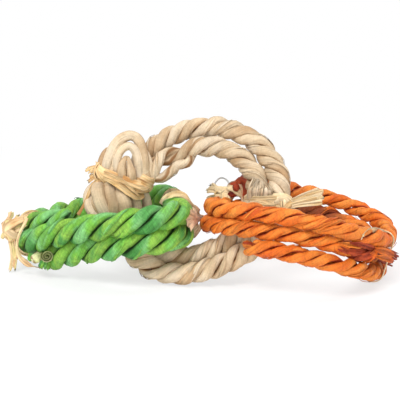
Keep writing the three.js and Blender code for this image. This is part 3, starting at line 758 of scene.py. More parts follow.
def drawn_share(ring, rope, turn):
    """By which share the rope is drawn tight at each turn"""
    share = np.zeros_like(turn)
    for bearing, reach, most in rope["drawn"]:
        past = (ring["start"] + 360 * turn - bearing + 180) % 360 - 180
        share = share + most * np.exp(-(past / reach) ** 2)
    return share


def rest_on_floor(deepest):
    """Presses what would reach under the floor up into the lowest few millimetres"""
    def shape(points):
        points = points.copy()
        low = points[:, 2] < FLOOR_REACH
        share = (FLOOR_REACH - points[low, 2]) / (FLOOR_REACH + deepest)
        points[low, 2] = FLOOR_REACH - (FLOOR_REACH - FLOOR_GAP) * np.clip(share, 0, 1)
        return points
    return shape


def rope_table(ring):
    """Evenly spaced turns of the rope line, with the length run so far"""
    turn = np.linspace(0, ring["turns"], TABLE_ROWS)
    length = length_run(rope_points(ring, turn))
    run = np.linspace(0, length[-1], int(length[-1] / ROPE_STEP) + 1)
    return np.interp(run, length, turn), run


def within(stretch, turn):
    """Rises from 0 to 1 and falls back over the four turns of a stretch"""
    begins, full, ends, clear = stretch
    return (smooth(begins, full, turn) * (1 - smooth(ends, clear, turn)))[:, None]


# Strands of the natural rope that bulge under its left tie: radius, and a route down the photograph
BULGES = (
    (2.8, [(99, 184, -3), (91, 192, -1), (89, 200, 2), (91, 208, 4), (97, 216, 4.5), (105, 223, 3),
           (112, 230, -1)]),
    (3, [(103, 180, 0), (98, 187, 4), (98, 194, 7), (101, 204, 7.5), (106, 214, 6), (111, 226, 1)]),
    (2.7, [(110, 183, 2), (110, 191, 6), (113, 199, 7.5), (114, 209, 7), (111, 222, 3)]),
    (3.1, [(120, 186, 2), (121, 194, 6), (124, 200, 8.4), (126, 209, 7.6), (123, 222, 3)]),
    (2.2, [(130, 191, 1), (133, 197, 4), (137, 204, 5), (137, 214, 2), (134, 224, -2)]),
    (2, [(116, 190, 5), (117, 200, 5.6), (119, 211, 5), (118, 222, 2)]),
    (2.2, [(141, 188, 0), (145, 196, 1), (147, 206, 0), (143, 220, -2)]),
)


def add_bulges(skin):
    ring = RINGS["natural"]
    middle = station("natural", "left")["middle"]
    colour = husk_colours(NATURAL_TONES, spread=0.3)
    for number, (radius, route) in enumerate(BULGES, 1):
        line = curve(seen_at(ring, middle, route), 1.1)
        facing = to_ring(ring, to_world(ring, line) - ahead) - line
        strand(skin, line, facing, radius, 700 + 13 * number, colour, NATURAL_VALLEY_SHADE, shaded_from=1.2, folds=0.8)


# Ends of strands that fan out over the natural right tie, in rows of seven
FRINGE_COUNT = 21
FRINGE_IN_ROW = 7
# Painted light and shade: each row's colour is scaled, the back row darkest and the front row lightest
FRINGE_ROW_PAINTED_LIGHT = (0.84, 0.96, 1.06)
FRINGE_SHIFTS = (0.5, 0.0, 0.5)
FRINGE_LEFT = 248.5
FRINGE_SPACING = 3.5
FRINGE_TOPS = (176, 181)
FRINGE_GATHERED = (264, 204)
FRINGE_WAIST = 197
FRINGE_KNEE = 194
FRINGE_NEAREST = 261


def add_fringe(skin):
    ring = RINGS["natural"]
    middle = station("natural", "right")["middle"]
    source = np.random.default_rng(9)
    root_x, root_y = FRINGE_GATHERED
    for i in range(FRINGE_COUNT):
        row, column = divmod(i, FRINGE_IN_ROW)
        x = FRINGE_LEFT + (column + FRINGE_SHIFTS[row]) * FRINGE_SPACING + source.uniform(-0.8, 0.8)
        top = source.uniform(*FRINGE_TOPS) + 0.3 * (x - 248) + 2 * row
        bend = source.uniform(-2.2, 2.2)
        near = 6.4 + 0.8 * row + 0.4 * math.sin(i * 1.9) - abs(x - FRINGE_NEAREST) * 0.1
        route = [(x * 0.9 + root_x * 0.1, root_y, near - 2.0),
                 (x * 0.95 + root_x * 0.05, FRINGE_WAIST, near - 0.6),
                 (x + bend, (top + FRINGE_KNEE) / 2, near + 0.4),
                 (x + 0.3 * bend - 0.3 * (x - root_x), top, near - 2.4)]
        line = curve(seen_at(ring, middle, route), 0.8)
        taper = spread_along(line, (0.8, 1.1, 1, 0.5), (0, 0.3, 0.6, 1)) * source.uniform(1.5, 2.2)
        broad = (camera_right + source.uniform(-0.8, 0.8) * ahead) @ ring["turned"]
        ribbon(skin, line, broad, taper, 900 + 7 * i, strip_colours(NATURAL_TONES, FRINGE_ROW_PAINTED_LIGHT[row]),
               thickness=0.5, across=7, crease=0.16, curl=-0.3)


def rope_stain(key, turn):
    """What the colour of a rope is multiplied by at each turn"""
    stain = np.ones((len(turn), 3))
    for stretch, left in DARKER_STRETCHES[key]:
        stain = stain * (1 - within(stretch, turn) * (1 - np.array(left)))
    return stain


# Torn leaves of the frayed stretch at the right end of the orange rope: finish, width and route
LEAVES_TURN = 1.28
LEAVES = (
    ("orange", 2.2, [(338, 243, 14), (347, 244.5, 13), (356, 246, 11), (365, 246, 9)]),
    ("red", 3.6, [(343, 250, 12), (351, 252, 11.5), (360, 252, 9), (369, 254, 6)]),
    ("red", 2.6, [(350, 243, 13), (358, 244, 12), (367, 246, 9), (375, 249, 5)]),
    ("red", 3.4, [(354, 259, 9), (361, 258, 9), (369, 255, 7), (377, 251, 3)]),
    ("orange", 3, [(363, 262, 6), (369, 259, 6.5), (374, 254, 6), (377, 248, 4)]),
    ("red", 2.2, [(336, 247, 14), (342, 249, 14), (348, 253, 12)]),
    ("red", 2.4, [(346, 256, 9), (354, 258, 9), (360, 262, 7)]),
    ("orange", 3.2, [(371, 247, 5), (378, 250, 5), (386, 252, 1), (394, 256, -6)]),
    ("orange", 3, [(374, 256, 3), (381, 257, 2), (388, 259, -3), (393, 262, -8)]),
)


def add_leaves(skin):
    ring = RINGS["orange"]
    middle = rope_points(ring, LEAVES_TURN)
    for i, (kind, width, route) in enumerate(LEAVES):
        line = curve(seen_at(ring, middle, route))
        taper = spread_along(line, (0.25, 1, 1, 0.4), (0, 0.3, 0.7, 1)) * width
        broad = (camera_up + 0.3 * math.sin(2.3 * i) * ahead) @ ring["turned"]
        colour = strip_colours(FINISHES[kind]["tones"])
        ribbon(skin, line, broad, taper, 2000 + i, colour, crease=0.35, curl=0.6, ragged=1.2)


def laid_line(key, turn, axial):
    """The line that a rope's strands are laid round, and how wide they are of their full width"""
    line = rope_points(RINGS[key], turn)
    tight = 1 - drawn_share(RINGS[key], ROPES[key], turn)
    if key == "green":
        line = line - green_sunk(turn) * axial * np.sign(axial[:, 2:3])
        tight = tight * (1 - GREEN_THIN * (1 - smooth(0, GREEN_THIN_UNTIL, turn)))
        tight = tight * (1 - GREEN_SUNK_TIGHT * smooth(*GREEN_SUNK_TURNS, turn))
    return line, tight


def hung_off(number, offset, outward, turn):
    """A strand of the natural rope, moved to hang off it or to close up beside the one that does"""
    hung = within(HANGING_TURNS, turn)
    if number == HANGING_STRAND:
        return offset * (1 - hung) - HANGING * hung * outward
    return offset * (1 - OTHERS_CLOSE_UP * hung)


def make_rope(key):
    ring, rope, finish = RINGS[key], ROPES[key], FINISHES[key]
    tones, rough = finish["tones"], rope["rough"]
    turn, run = rope_table(ring)
    outward, _, axial = rope_frames(ring, turn)
    line, tight = laid_line(key, turn, axial)
    a_turn = run[-1] / ring["turns"]
    lay = a_turn / round(a_turn / (rope["lay"] / STRANDS)) * STRANDS
    skin = Skin()
    for number in range(STRANDS):
        seed = rope["seed"] + 31 * number
        twist = TAU * (run / lay + number / STRANDS + rope["phase"]) + 0.16 * rough * waves(seed, run, 60)
        facing = way_at(twist, outward, axial)
        reach = STRAND_REACH * rope["strand"] * tight * (1 + 0.04 * rough * waves(seed + 3, run, 45))
        radius = rope["strand"] / 2 * tight * (1 + 0.045 * rough * waves(seed + 9, run, 11))
        kinks = waves(seed + 5, run, 11)[:, None] * axial + waves(seed + 6, run, 13)[:, None] * outward
        offset = reach[:, None] * facing
        if key == "natural":
            offset = hung_off(number, offset, outward, turn)
        kept = (turn >= rope["starts"][number]) & (turn <= ring["turns"] - rope["stops"][number])
        centres = (line + offset + KINK * rough * kinks)[kept]
        laid = (skin, centres, facing[kept], radius[kept], seed)
        strand(*laid, husk_colours(tones), finish["deep"], flat=rope["flat"], folds=rope["folds"],
               stain=rope_stain(key, turn[kept]))
        flakes(*laid, strip_colours(tones), rope["flakes"])
    if key == "natural":
        add_bulges(skin)
        add_fringe(skin)
    if key == "orange":
        add_leaves(skin)
    skin.piece(f"{key}_rope_strands", ring, f"{key}_ring", [f"{key}_rope"], finish,
               rest_on_floor(rope["floor"]))


for key in ROPES:
    make_rope(key)


# Ties, knots and loose ends
def node_middle(ring, node):
    low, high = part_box(node)
    return to_ring(ring, (np.array(low) + np.array(high)) / 2 / MM)


class Tied:
    """One piece of a ring's ties, named after the node that it replaces. A route's points are x and y in
    pixels of the photograph, and millimetres nearer to the camera than the node's middle. A way is a
    direction in the photograph, x to the right and y down."""

    def __init__(self, node, kind):
        self.node, self.key, self.skin = node, node.split("_")[0], Skin()
        self.ring, self.finish = RINGS[self.key], FINISHES[kind]
        self.tones, self.deep = self.finish["tones"], self.finish["deep"]
        self.colour = strip_colours(self.tones)
        self.middle = node_middle(self.ring, node)
        self.facing = to_ring(self.ring, to_world(self.ring, self.middle) - ahead) - self.middle

    def at(self, route, step=0.6):
        return curve(seen_at(self.ring, self.middle, route), step)

    def direction(self, way):
        return unit((way[0] * camera_right - way[1] * camera_up) @ self.ring["turned"])

    def strip(self, route, way, width, seed, **more):
        line = self.at(route)
        ribbon(self.skin, line, self.direction(way), spread_along(line, width), seed, self.colour, **more)

    def strips(self, routes, widths, swell, way, seed, **more):
        """Strips side by side, each as wide as its own width times the swell along it"""
        for i, (route, width) in enumerate(zip(routes, widths)):
            self.strip(route, way, [width * part for part in swell], seed + i, **more)

    def tail(self, route, way, root, tip, count, seed, **more):
        tassel(self.skin, self.at(route), self.direction(way), root, tip, count, seed, self.colour, **more)

    def band(self, place, wraps, seed, **more):
        band(self.skin, place, wraps, seed, self.colour, **more)

    def knot(self, spot, way, sizes, seed, **more):
        centre = seen_at(self.ring, self.middle, [spot])[0]
        first = self.direction(way)
        third = unit(self.facing - (self.facing @ first) * first)
        knot(self.skin, centre, (first, np.cross(third, first), third), sizes, seed, self.colour, **more)

    def strand(self, route, radius, seed, **more):
        line = self.at(route, 0.8)
        facing = np.broadcast_to(self.facing, line.shape)
        colour = husk_colours(self.tones, spread=0.3)
        strand(self.skin, line, facing, spread_along(line, radius), seed, colour, self.deep, **more)

    def done(self):
        self.skin.piece(f"{self.node}_husk", self.ring, f"{self.key}_ring", [self.node], self.finish)


BRIGHT_PALE = strip_colours(PALE_TONES, 1.1)


def natural_left_tie_band(piece):
    wraps = [(-2.2, 3.4, 1, 0), (1.8, 3.8, 1, 0.04), (0.2, 3.6, 1.5, -0.05)]
    piece.band(station("natural", "left"), wraps, 1200, skew=0.2)
    over_the_front = (
        [(101, 168, 8.6), (109, 172, 10.6), (119, 176, 12), (130, 181, 12), (140, 184, 10.2),
         (148, 185, 6.6)],
        [(101, 173, 8.6), (109, 177, 11), (119, 181, 12.6), (130, 187, 12.6), (140, 190, 10.6),
         (148, 189, 6.6)],
        [(102, 177, 8.6), (110, 181, 11), (119, 186, 12.6), (129, 193, 12.6), (137, 197, 10.6),
         (144, 195, 7.2)],
        [(104, 175, 9), (113, 178, 11.6), (123, 182, 13.4), (134, 186, 13.2), (143, 189, 10.6),
         (149, 187, 7)],
        [(103, 171, 9.2), (112, 175, 11.6), (122, 180, 13.2), (132, 189, 13.4), (139, 196, 11)])
    piece.strips(over_the_front, (2.6, 2.8, 2.6, 1.7, 1.5), (0.55, 0.8, 0.9, 1.1, 1.25, 1), (0.3, 1), 1201,
                 crease=0.3, curl=-0.25)


def natural_left_tie_knot(piece):
    lump = (101, 171, 2)
    upward = [(106, 182, 4), (102, 177, 5.4), (99, 170, 5), (101, 164, 2.5)]
    sideways = [(97, 165, 3), (100, 169, 5.4), (105, 173, 5.6), (110, 174, 4)]
    piece.knot(lump, (0.25, -1), (4.1, 3, 2.8), 1210)
    piece.strip(upward, (1, 0.1), (2.4, 3.4, 3.4, 1.8), 1211)
    piece.strip(sideways, (0.4, -1), (2.4, 3.2, 3, 2.2), 1212)


def natural_left_tie_tail_upper(piece):
    middle_tuft = [(103, 170, 1), (98, 168, 1.5), (93, 169, 1), (87, 172, 0)]
    lower_tuft = [(103, 173, 0), (98, 175, 0.5), (93, 177, 0), (88, 180, -1)]
    upper_tuft = [(103, 168, 0), (100, 165, 0), (96, 162, -0.5)]
    piece.tail(middle_tuft, (0.1, 1), 1.8, 4.4, 5, 1220)
    piece.tail(lower_tuft, (0.4, 1), 1.6, 3.6, 4, 1230)
    piece.tail(upper_tuft, (1, 0.6), 1.4, 3.4, 4, 1240)


def natural_left_tie_strip(piece):
    long_strip = [(101, 176, 1), (97, 180, 1), (91, 188, 0.5), (87, 198, 0), (83, 207, 0), (78, 215, -0.5)]
    short_strip = [(101, 178, 0), (98, 186, 0.5), (94, 196, 0), (90, 206, 0)]
    piece.strip(long_strip, (1, 0.4), (2, 1.8, 1.6, 1.4, 1.4, 1.6), 1250, crease=0.15, across=7)
    piece.strip(short_strip, (1, 0.3), (1.2, 1, 0.7), 1251, crease=0.1, across=5)


def natural_eye_outer(piece):
    loop = [(105, 178, -2), (106, 169, 0), (109, 158, 1), (114, 147, 1), (121, 139, 0.4), (130, 135.5, -0.2),
            (137, 138.5, -0.6), (141.5, 148, -0.4), (144, 161, 0), (144, 180, -2)]
    left_side = [(100, 178, -3), (101, 170, -1.6), (102, 162, -1.2), (105, 154, -1.6), (110, 148, -3)]
    right_side = [(150, 182, -4), (149, 173, -2.4), (149, 164, -2.4), (146, 154, -3), (141, 146, -4)]
    piece.deep = EYE_VALLEY_SHADE
    piece.strand(loop, [2.35], 1300)
    piece.strand(left_side, (2.1, 2.1, 2, 1.8, 1.2), 1310)
    piece.strand(right_side, (1.8, 1.8, 1.7, 1.5, 1.2), 1320)


def natural_eye_inner(piece):
    loop = [(118, 178, 0), (116.5, 170, 1.4), (116.5, 162, 2.2), (119, 153.5, 2), (124, 147.5, 1.4),
            (130, 146, 1), (135.5, 151, 0.8), (138.5, 162, 1), (139, 180, -1)]
    left_side = [(113, 180, 0), (112, 173, 1.4), (113.5, 166, 1.4), (117, 159, 1)]
    left_fold = [(124, 182, 1), (121.5, 175, 3), (121.5, 167, 3.2), (124, 160, 2.4), (126.5, 156, 0.6)]
    right_fold = [(132, 184, 0), (131.5, 177, 3), (130.5, 168, 3), (129, 161, 2.2), (127.5, 156, 0.4)]
    piece.deep = EYE_VALLEY_SHADE
    piece.strand(loop, (2, 2, 2, 1.9, 1.9, 2.1, 2.3, 2.3, 2.2), 1330)
    piece.strand(left_side, (1.7, 1.8, 1.5, 0.9), 1335)
    piece.strand(left_fold, (2.1, 2.2, 2, 1.3, 0.7), 1340)
    piece.strand(right_fold, (2.1, 2.2, 1.9, 1.2, 0.7), 1350)


def natural_right_tie_band(piece):
    wraps = [(-1.5, 3.4, 1.2, 0), (1.5, 3.6, 1.2, 0.05), (0, 3.8, 1.9, -0.04)]
    piece.band(station("natural", "right"), wraps, 1400, skew=0.05)
    left_and_right_heights = ((198, 198), (202, 203), (206, 207), (200, 205))
    over_the_front = [
        [(244, left, 2), (250, left, 6.4), (261, left + 0.5, 8.8), (272, right, 8.4), (281, right + 1, 6),
         (286, right + 2, 3)] for left, right in left_and_right_heights]
    piece.strips(over_the_front, (2.2, 2.6, 2.2, 1.8), (1, 1, 1, 1.1, 0.8, 0.6), (0, 1), 1401,
                 crease=0.3, curl=-0.2)
    left_end = [(262, 207, 6), (263, 212, 6.2), (266, 217, 5)]
    right_end = [(272, 207, 5), (275, 213, 5.2), (279, 217, 4)]
    piece.strip(left_end, (1, 0.3), (2.6, 2.4, 1.6), 1406, ragged=0.6)
    piece.strip(right_end, (1, 0.3), (2.4, 2.2, 1.4), 1407, ragged=0.6)


def natural_right_tie_knot(piece):
    lump = (287, 204, 2)
    downward = [(279, 197, 2.5), (285, 199, 4.4), (290, 204, 4.8), (290, 211, 3)]
    upward = [(280, 210, 2.5), (285, 209, 4.8), (290, 204, 5.4), (294, 199, 3)]
    piece.knot(lump, (0.15, 1), (3.2, 2.6, 2.6), 1410)
    piece.strip(downward, (0.5, -1), (2.4, 3.2, 3.2, 2), 1411)
    piece.strip(upward, (0.5, 1), (2, 2.8, 2.6, 1.8), 1412)


def natural_right_tie_fan(piece):
    behind = [(287, 205, 1), (297, 201, 1.4), (311, 197, 1.8), (326, 194, 2)]
    in_front = [(287, 207, 2), (299, 204, 2.4), (312, 202, 2.6), (323, 200, 2.6)]
    piece.tail(behind, (0.15, 1), 3, 9, 9, 1420, ragged=0.7, lift=0.25)
    piece.tail(in_front, (0.15, 1), 2.2, 4.4, 5, 1430, ragged=0.7, lift=0.25)


def natural_right_tie_tail_short(piece):
    downward = [(287, 206, 1), (292, 210, 1.4), (300, 214, 1)]
    piece.tail(downward, (-0.5, 1), 1.8, 3.2, 4, 1440, ragged=1)


def green_left_tie_band(piece):
    # The end that lies beside the tie isn't bound by it
    place = station("green", "left", from_turn=0.5)
    sunk = green_sunk(place["turns"]) * place["axial"] * np.sign(place["axial"][2])
    place["ropes"] = place["ropes"] - sunk
    piece.band(place, [(-0.9, 2.6, 1, 0), (1.1, 2.4, 1.1, 0.06), (0.1, 1.9, 1.8, -0.08)], 1500)
    toward_the_knot = (
        [(34, 212, 0), (27, 215, 2.4), (19, 220, 4), (11, 226, 4)],
        [(31, 218, 2), (25, 220, 3.4), (18, 225, 4.6), (11, 230, 4)],
        [(27, 224, 3), (23, 226, 4), (17, 230, 4.6), (11, 233, 4)])
    piece.strips(toward_the_knot, (2.4, 3, 2.2), (0.8, 1, 1, 0.7), (0.4, 1), 1501, crease=0.3, curl=-0.2)


def green_left_tie_knot(piece):
    lump = (10, 230, 1.5)
    leftward = [(24, 219, 4), (15, 222, 5.4), (7, 228, 5), (5, 237, 3)]
    rightward = [(3, 222, 2), (6, 229, 4.4), (13, 235, 5), (22, 237, 4)]
    under = [(8, 230, 3), (5, 235, 3.4), (4, 240, 3)]
    piece.knot(lump, (0.2, 1), (4.6, 3.2, 2.8), 1510)
    piece.strip(leftward, (1, 1), (3, 4, 3.8, 2.4), 1511)
    piece.strip(rightward, (-0.6, 1), (2.4, 3.6, 3.6, 2.6), 1512)
    piece.tail(under, (1, 0.3), 2.4, 3.4, 3, 1514, ragged=0.6)


def green_left_tie_tail_up(piece):
    upward = [(10, 227, 1), (8, 221, 1.4), (11, 216, 0.8), (11, 211, 0)]
    beside = [(12, 226, 0), (16, 221, 0.6), (20, 216, 0)]
    piece.tail(upward, (1, 0), 2.4, 2.6, 3, 1520)
    piece.tail(beside, (0.6, 1), 2.2, 3.4, 4, 1525)


def green_left_tie_tail_down(piece):
    long_tail = [(11, 233, 2), (12, 243, 2.4), (14, 256, 2), (12, 271, 1)]
    short_tail = [(13, 236, 2), (14.5, 246, 2.8), (15, 256, 2.2), (14, 262, 1.6)]
    piece.tail(long_tail, (1, 0), 3.4, 3.6, 5, 1530, ragged=2, lift=0.2)
    piece.tail(short_tail, (1, 0), 2.2, 2.6, 3, 1536, ragged=1.2, lift=0.2)


def green_left_tie_strap(piece):
    downward = [(27, 218, 2), (24, 225, 3.4), (19, 235, 4), (17, 246, 4), (20, 257, 3.4), (29, 265, 2.6),
                (42, 268, 1)]
    piece.strip(downward, (1, 0.2), (1.6, 1.4, 1.3, 1.3, 2.6, 3, 1.6), 1540, crease=0.12, across=7)


def green_right_tie_band(piece):
    # Painted light: the pale tones are brightened by 1.15 to lift the band out of the shade where it lies
    piece.colour = strip_colours(PALE_TONES, 1.15)
    wraps = [(-1.1, 2, 0.2, 0), (0.8, 2, 0.2, 0.03), (0.1, 1.6, 0.6, -0.08)]
    piece.band(station("green", "right"), wraps, 1600)
    over_the_bend = (
        [(161, 204, 13), (164, 199, 14), (170, 195, 14), (178, 193, 13), (187, 197, 12), (194, 206, 9),
         (201, 216, 4)],
        [(165, 206, 15), (168, 200, 15), (173, 196, 15), (182, 196, 14), (190, 203, 11), (198, 213, 6)],
        [(170, 189, 8), (171, 194, 11), (169, 199, 13), (163, 203, 13)])
    piece.strips(over_the_bend, (2.4, 1.8, 2.4), (1, 1.1, 1, 0.9, 0.9, 1), (-0.6, -1), 1605, curl=-0.2)


def green_right_tie_cone(piece):
    """Gathered husk: strips run from a knotted tip to a mouth, behind the green bend and over it"""
    tip_y = 218
    # Where the strips end in the mouth: x, y, how near, and how far they bow out
    mouth = ((191, 210, 20, -2), (188, 214, 25, -1), (187, 219, 27, 0), (188, 224, 26, 1), (191, 229, 20, 2),
             (193, 207, 8, -2))
    for i, (x, y, near, bow) in enumerate(mouth):
        route = [(x, y, near), (x + 6, (y * 2 + tip_y) / 3 - bow, near - 1),
                 (197.5, (y + 2 * tip_y) / 3 - bow, near * 0.7), (203, tip_y + (i - 2) * 0.4, 4)]
        piece.strip(route, (0.15, 1), (3.4, 2.8, 1.9, 0.9), 1610 + i, crease=0.25, curl=-0.3)
    tip_knot = (201.5, tip_y, 5)
    piece.knot(tip_knot, (1, 0.1), (1.5, 1.2, 1.2), 1625, wraps=((20, 0.4), (110, 0.4)))
    mouth_over_the_bend = ((190, 210), (187, 214), (186, 219), (187, 224), (190, 229))
    for i, (x, y) in enumerate(mouth_over_the_bend):
        route = [(202, tip_y + (i - 2) * 0.3, 5), (198.5, tip_y + (i - 2) * 0.8, 16),
                 (196, tip_y + (i - 2) * 1.6, 28), ((x + 195) / 2, (y * 2 + tip_y) / 3, 36.5), (x, y, 39.5)]
        piece.strip(route, (0.2, 1), (1.2, 2.2, 2.8, 3.2, 2.6), 1640 + i, crease=0.25, curl=-0.2, ragged=0.8)


def green_right_tie_strip(piece):
    downward = [(202, 219, 6), (201, 225, 6), (197.5, 231, 5), (192, 237, 4)]
    piece.tail(downward, (1, 0.8), 1.6, 2.8, 5, 1630, ragged=1)


def green_cut_end_pale(piece):
    piece.tones = CUT_TONES
    stub = [(46, 253, -4), (41, 256, -1), (36, 258, 2), (33.5, 259.5, 4)]
    piece.strand(stub, (2.5, 2.5, 2.3, 2.1), 1700, blunt=0.6)


def green_cut_end_rolled(piece):
    """The rope's cut end, where a leaf shows as a spiral"""
    spiral_x, spiral_y, spiral_near = 47.5, 256, -4.6
    turn = np.linspace(0, 2.6, 110)
    reach = 0.7 + 2.25 * turn
    spiral = np.stack([spiral_x + reach * np.cos(TAU * turn), spiral_y + 0.95 * reach * np.sin(TAU * turn),
                       spiral_near - 0.3 * turn], -1)
    line = evenly(seen_at(piece.ring, piece.middle, spiral), 0.5)
    ribbon(piece.skin, line, piece.facing, 6.4, 1710, strip_colours(CUT_TONES), thickness=0.7, crease=0.1,
           across=7)
    stub = [(63, 256, -3), (60, 258, -2.4), (56, 260, -3.4)]
    middle_fray = [(47, 260, -6.6), (45, 265, -7), (44, 269, -8)]
    left_fray = [(31.5, 253, -10), (30, 257, -9), (31, 262, -9.4)]
    piece.strand(stub, (1.7, 1.6, 1.1), 1720, sides=14)
    piece.tail(middle_fray, (1, 0.3), 4.5, 6.4, 6, 1730, ragged=1.2)
    piece.tail(left_fray, (1, 0.3), 1.8, 2.4, 3, 1740, ragged=1)


def orange_left_tie_band(piece):
    wraps = [(-0.9, 2.2, 0.3, 0), (0.9, 2.2, 0.3, 0.04), (0, 1.6, 0.7, -0.06)]
    piece.band(station("orange", "left"), wraps, 1800, skew=0.3)


def orange_left_tie_knot(piece):
    piece.colour = BRIGHT_PALE
    lump = (224, 194, 5)
    downward = [(215, 188, 5), (221, 190, 8), (228, 194, 8.4), (233, 199, 6)]
    upward = [(217, 201, 5), (222, 196, 8), (228, 191, 8), (236, 189, 6), (243, 191, 4)]
    strap = [(227, 187, 8.6), (233, 189, 10.4), (239, 192.5, 10.2), (244, 198, 7.6)]
    flare = [(225, 193, 9), (226, 198, 10), (225, 205, 9.6)]
    piece.knot(lump, (1, -0.2), (4, 3, 2.8), 1810)
    piece.strip(downward, (-0.4, 1), (2.6, 3.6, 3.6, 2.6), 1811)
    piece.strip(upward, (0.5, 1), (2, 3, 3.4, 3, 2), 1812)
    piece.strip(strap, (-0.5, 1), (2.4, 3.2, 3.2, 2.4), 1813)
    piece.tail(flare, (1, 0.1), 3, 6.4, 6, 1814, ragged=0.8, lift=0.2)


def orange_left_tie_tail_upper(piece):
    piece.colour = BRIGHT_PALE
    leftward = [(223, 194, 2), (216, 190.5, 2.4), (210, 189, 2), (206, 189.5, 1)]
    upward = [(221, 192, 1), (216, 187, 1.5), (212, 184, 1)]
    piece.tail(leftward, (0.1, 1), 1.6, 4.6, 6, 1820)
    piece.tail(upward, (1, 0.4), 1.6, 3, 3, 1825)


def orange_left_tie_tail_lower(piece):
    piece.colour = BRIGHT_PALE
    leftward = [(223, 197, 2), (217, 197, 3), (212, 198, 2.4), (207, 200, 1)]
    downward = [(219, 200, 3), (215, 203, 3.4), (212, 207, 3)]
    piece.tail(leftward, (0.1, 1), 1.8, 3.6, 4, 1830)
    piece.tail(downward, (0.8, 0.6), 1.6, 2.6, 3, 1835)


def orange_loop_behind(piece):
    left_bend = [(230, 190, 9), (232.5, 186, 11), (235.5, 184.5, 11), (238.5, 188, 10)]
    right_bend = [(236, 189, 9), (238.5, 184, 11), (242, 181.4, 10.6), (245.4, 184, 11.4), (247, 189, 12.4),
                  (246, 195, 12.4), (244, 200, 10)]
    short_end = [(244, 178, 1), (243.5, 179, 5), (242.5, 182, 8.5)]
    piece.strand(left_bend, [1.5], 1840, sides=18)
    piece.strand(right_bend, (1.4, 1.9, 2.3, 2.3, 2.1, 1.8, 1.3), 1850, sides=18)
    piece.strand(short_end, [1.8], 1860, sides=18)


def orange_right_tie_band(piece):
    piece.colour = BRIGHT_PALE
    piece.band(station("orange", "right"), [(-0.8, 2.8, 0.6, 0)], 1900, skew=0.7, crease=0.12)
    arch = [(386, 234, -1.5), (380, 231.4, 7.5), (373.5, 229.8, 15.6), (367.5, 231, 21.2), (363, 235.5, 24),
            (361.5, 239, 22.4)]
    piece.strip(arch, (0.5, -1), (1.6, 2.4, 2.8, 2.8, 2.4, 1.2), 1905, crease=0.15, curl=-0.2)


def orange_fray_upper(piece):
    long_fray = [(374, 247, 12), (381, 249, 10), (389, 253, 5), (398, 258, 1)]
    short_fray = [(377, 251, 9), (384, 254, 7), (391, 258, 3)]
    piece.tail(long_fray, (-0.2, 1), 3, 4.6, 8, 1910, ragged=1.6, lift=0.5)
    piece.tail(short_fray, (-0.2, 1), 2.2, 3, 4, 1925, ragged=1.2, lift=0.4)


def orange_fray_lower(piece):
    long_fray = [(370, 256, 10), (377, 257, 9), (385, 260, 5), (395, 263, 1)]
    across_the_rope = [(377, 252, 9), (372, 258, 9), (366, 263, 8)]
    piece.tail(long_fray, (-0.2, 1), 2.6, 4.6, 8, 1930, ragged=1.6, lift=0.5)
    piece.strip(across_the_rope, (1, 0.6), (2, 3, 1), 1940, crease=0.3, curl=0.4)


# The pieces of each finish. A function is named after the node that its piece replaces.
TIED_PIECES = (
    ("tan", (
        natural_left_tie_band, natural_left_tie_knot, natural_left_tie_tail_upper, natural_left_tie_strip)),
    ("natural", (natural_eye_outer, natural_eye_inner)),
    ("pale", (
        natural_right_tie_band, natural_right_tie_knot, natural_right_tie_fan,
        natural_right_tie_tail_short)),
    ("lime", (
        green_left_tie_band, green_left_tie_knot, green_left_tie_tail_up, green_left_tie_tail_down,
        green_left_tie_strap)),
    ("pink", (green_right_tie_band, green_right_tie_cone, green_right_tie_strip)),
    ("pale", (green_cut_end_pale,)),
    ("green", (green_cut_end_rolled,)),
    ("pink", (
        orange_left_tie_band, orange_left_tie_knot, orange_left_tie_tail_upper, orange_left_tie_tail_lower)),
    ("red", (orange_loop_behind,)),
    ("pale", (orange_right_tie_band,)),
    ("red", (orange_fray_upper, orange_fray_lower)),
)
for kind, makers in TIED_PIECES:
    for make in makers:
        piece = Tied(make.__name__, kind)
        make(piece)
        piece.done()


def wire_material():
    material = bpy.data.materials.new("wire")
    material.use_nodes = True
    shader = material.node_tree.nodes["Principled BSDF"]
    shader.inputs["Base Color"].default_value = (0.55, 0.56, 0.57, 1)
    shader.inputs["Metallic"].default_value = 0.6
    shader.inputs["Roughness"].default_value = 0.35
    return material


def wire_loop():
    """A thin bent wire ring, seen from the front"""
    loop_x, loop_y = 222, 186.5
    half_wide, half_high, bent = 7.6, 8.2, 0.5
    wire_radius = 0.42
    ring = RINGS["orange"]
    angle = np.linspace(0, TAU, 64, endpoint=False)
    spots = np.stack([loop_x + half_wide * np.cos(angle),
                      loop_y - half_high * np.sin(angle) + bent * np.cos(2 * angle),
                      1.2 * np.cos(angle + 0.8)], -1)
    line = seen_at(ring, node_middle(ring, "wire_loop"), spots)
    line = evenly(np.concatenate([line, line[:1]]), 0.35)[:-1]
    tangent = unit(np.roll(line, -1, 0) - np.roll(line, 1, 0))
    radial = square_to(line - line.mean(axis=0), tangent)
    third = np.cross(tangent, radial)
    around = (TAU * np.arange(10) / 10)[None]
    points = line[:, None] + wire_radius * way_at(around, radial[:, None], third[:, None])
    skin = Skin()
    grey = np.array((0.5, 0.5, 0.5))
    skin.loft(points, grey, np.zeros_like(points), looped=True)
    wire = dict(slot="wire", material=wire_material())
    skin.piece("wire_loop_metal", ring, "wire_loop", ["wire_loop"], wire)


wire_loop()

# Floor, background and light: to the camera the floor is whiter than lit, more so away from the toy
FLOOR_HALF = 6
WHITE_FROM = 0.09
WHITE_TO = 0.32
WHITE_LEAST = 0.68
WHITE = (1, 1, 1, 1)


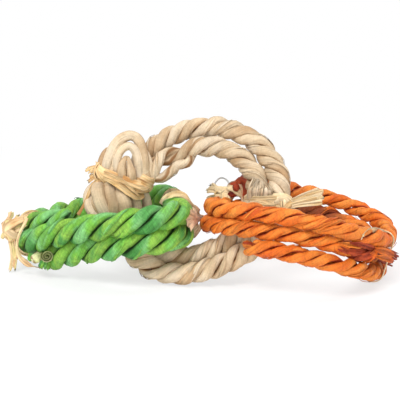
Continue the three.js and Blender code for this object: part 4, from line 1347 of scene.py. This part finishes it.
def floor_material():
    material = bpy.data.materials.new("floor_white")
    graph = Graph(material)
    lit = graph.add("BsdfPrincipled", {
        "Base Color": (0.95, 0.95, 0.95, 1), "Roughness": 0.9, "Specular IOR Level": 0}).outputs[0]
    white = graph.add("Emission", {"Color": WHITE, "Strength": 1}).outputs[0]
    place = graph.add("TexCoord", {}).outputs["Object"]
    distance = graph.add("VectorMath", {0: place}, operation="LENGTH").outputs["Value"]
    share = graph.remap(distance, WHITE_FROM, WHITE_TO, WHITE_LEAST, 1, interpolation_type="SMOOTHSTEP")
    to_camera = graph.add("LightPath", {}).outputs["Is Camera Ray"]
    seen = graph.math("MULTIPLY", to_camera, share)
    mix = graph.add("MixShader", {0: seen, 1: lit, 2: white}).outputs[0]
    graph.add("OutputMaterial", {"Surface": mix})
    return material


def add_floor():
    corners = [(x * FLOOR_HALF, y * FLOOR_HALF, 0) for x, y in ((-1, -1), (1, -1), (1, 1), (-1, 1))]
    mesh = bpy.data.meshes.new("floor")
    mesh.from_pydata(corners, [], [(0, 1, 2, 3)])
    mesh.materials.append(floor_material())
    floor = bpy.data.objects.new("floor", mesh)
    bpy.context.collection.objects.link(floor)


def add_world():
    """Soft light for the object, and plain white for the camera, reflections and what is seen through"""
    world = bpy.data.worlds.new("world")
    bpy.context.scene.world = world
    graph = Graph(world)
    lit = graph.add("Background", {"Color": (0.97, 0.98, 1, 1), "Strength": 0.62}).outputs[0]
    seen = graph.add("Background", {"Color": WHITE, "Strength": 1}).outputs[0]
    path = graph.add("LightPath", {}).outputs
    straight = graph.math("MAXIMUM", path["Is Camera Ray"], path["Is Glossy Ray"])
    through = graph.math("MAXIMUM", straight, path["Is Transmission Ray"])
    mix = graph.add("MixShader", {0: through, 1: lit, 2: seen}).outputs[0]
    graph.add("OutputWorld", {0: mix})


LIT_PLACE = np.array((0, 0, 0.03))


def add_lamp(name, place, size, power):
    data = bpy.data.lights.new(name, "AREA")
    data.shape = "DISK"
    data.size = size
    data.energy = power
    lamp = bpy.data.objects.new(name, data)
    bpy.context.collection.objects.link(lamp)
    toward = unit(LIT_PLACE - np.array(place))
    side = unit(np.cross(toward, (0, 0, 1.0)))
    lamp.matrix_world = looking(side, np.cross(side, toward), toward, place)


add_floor()
add_world()
add_lamp("key_light", (-0.35, -0.7, 0.95), 0.5, 9.5)
add_lamp("top_light", (0.3, 0.15, 1.1), 0.6, 5.0)
add_lamp("front_light", (0.15, -1.2, 0.3), 0.5, 3.5)
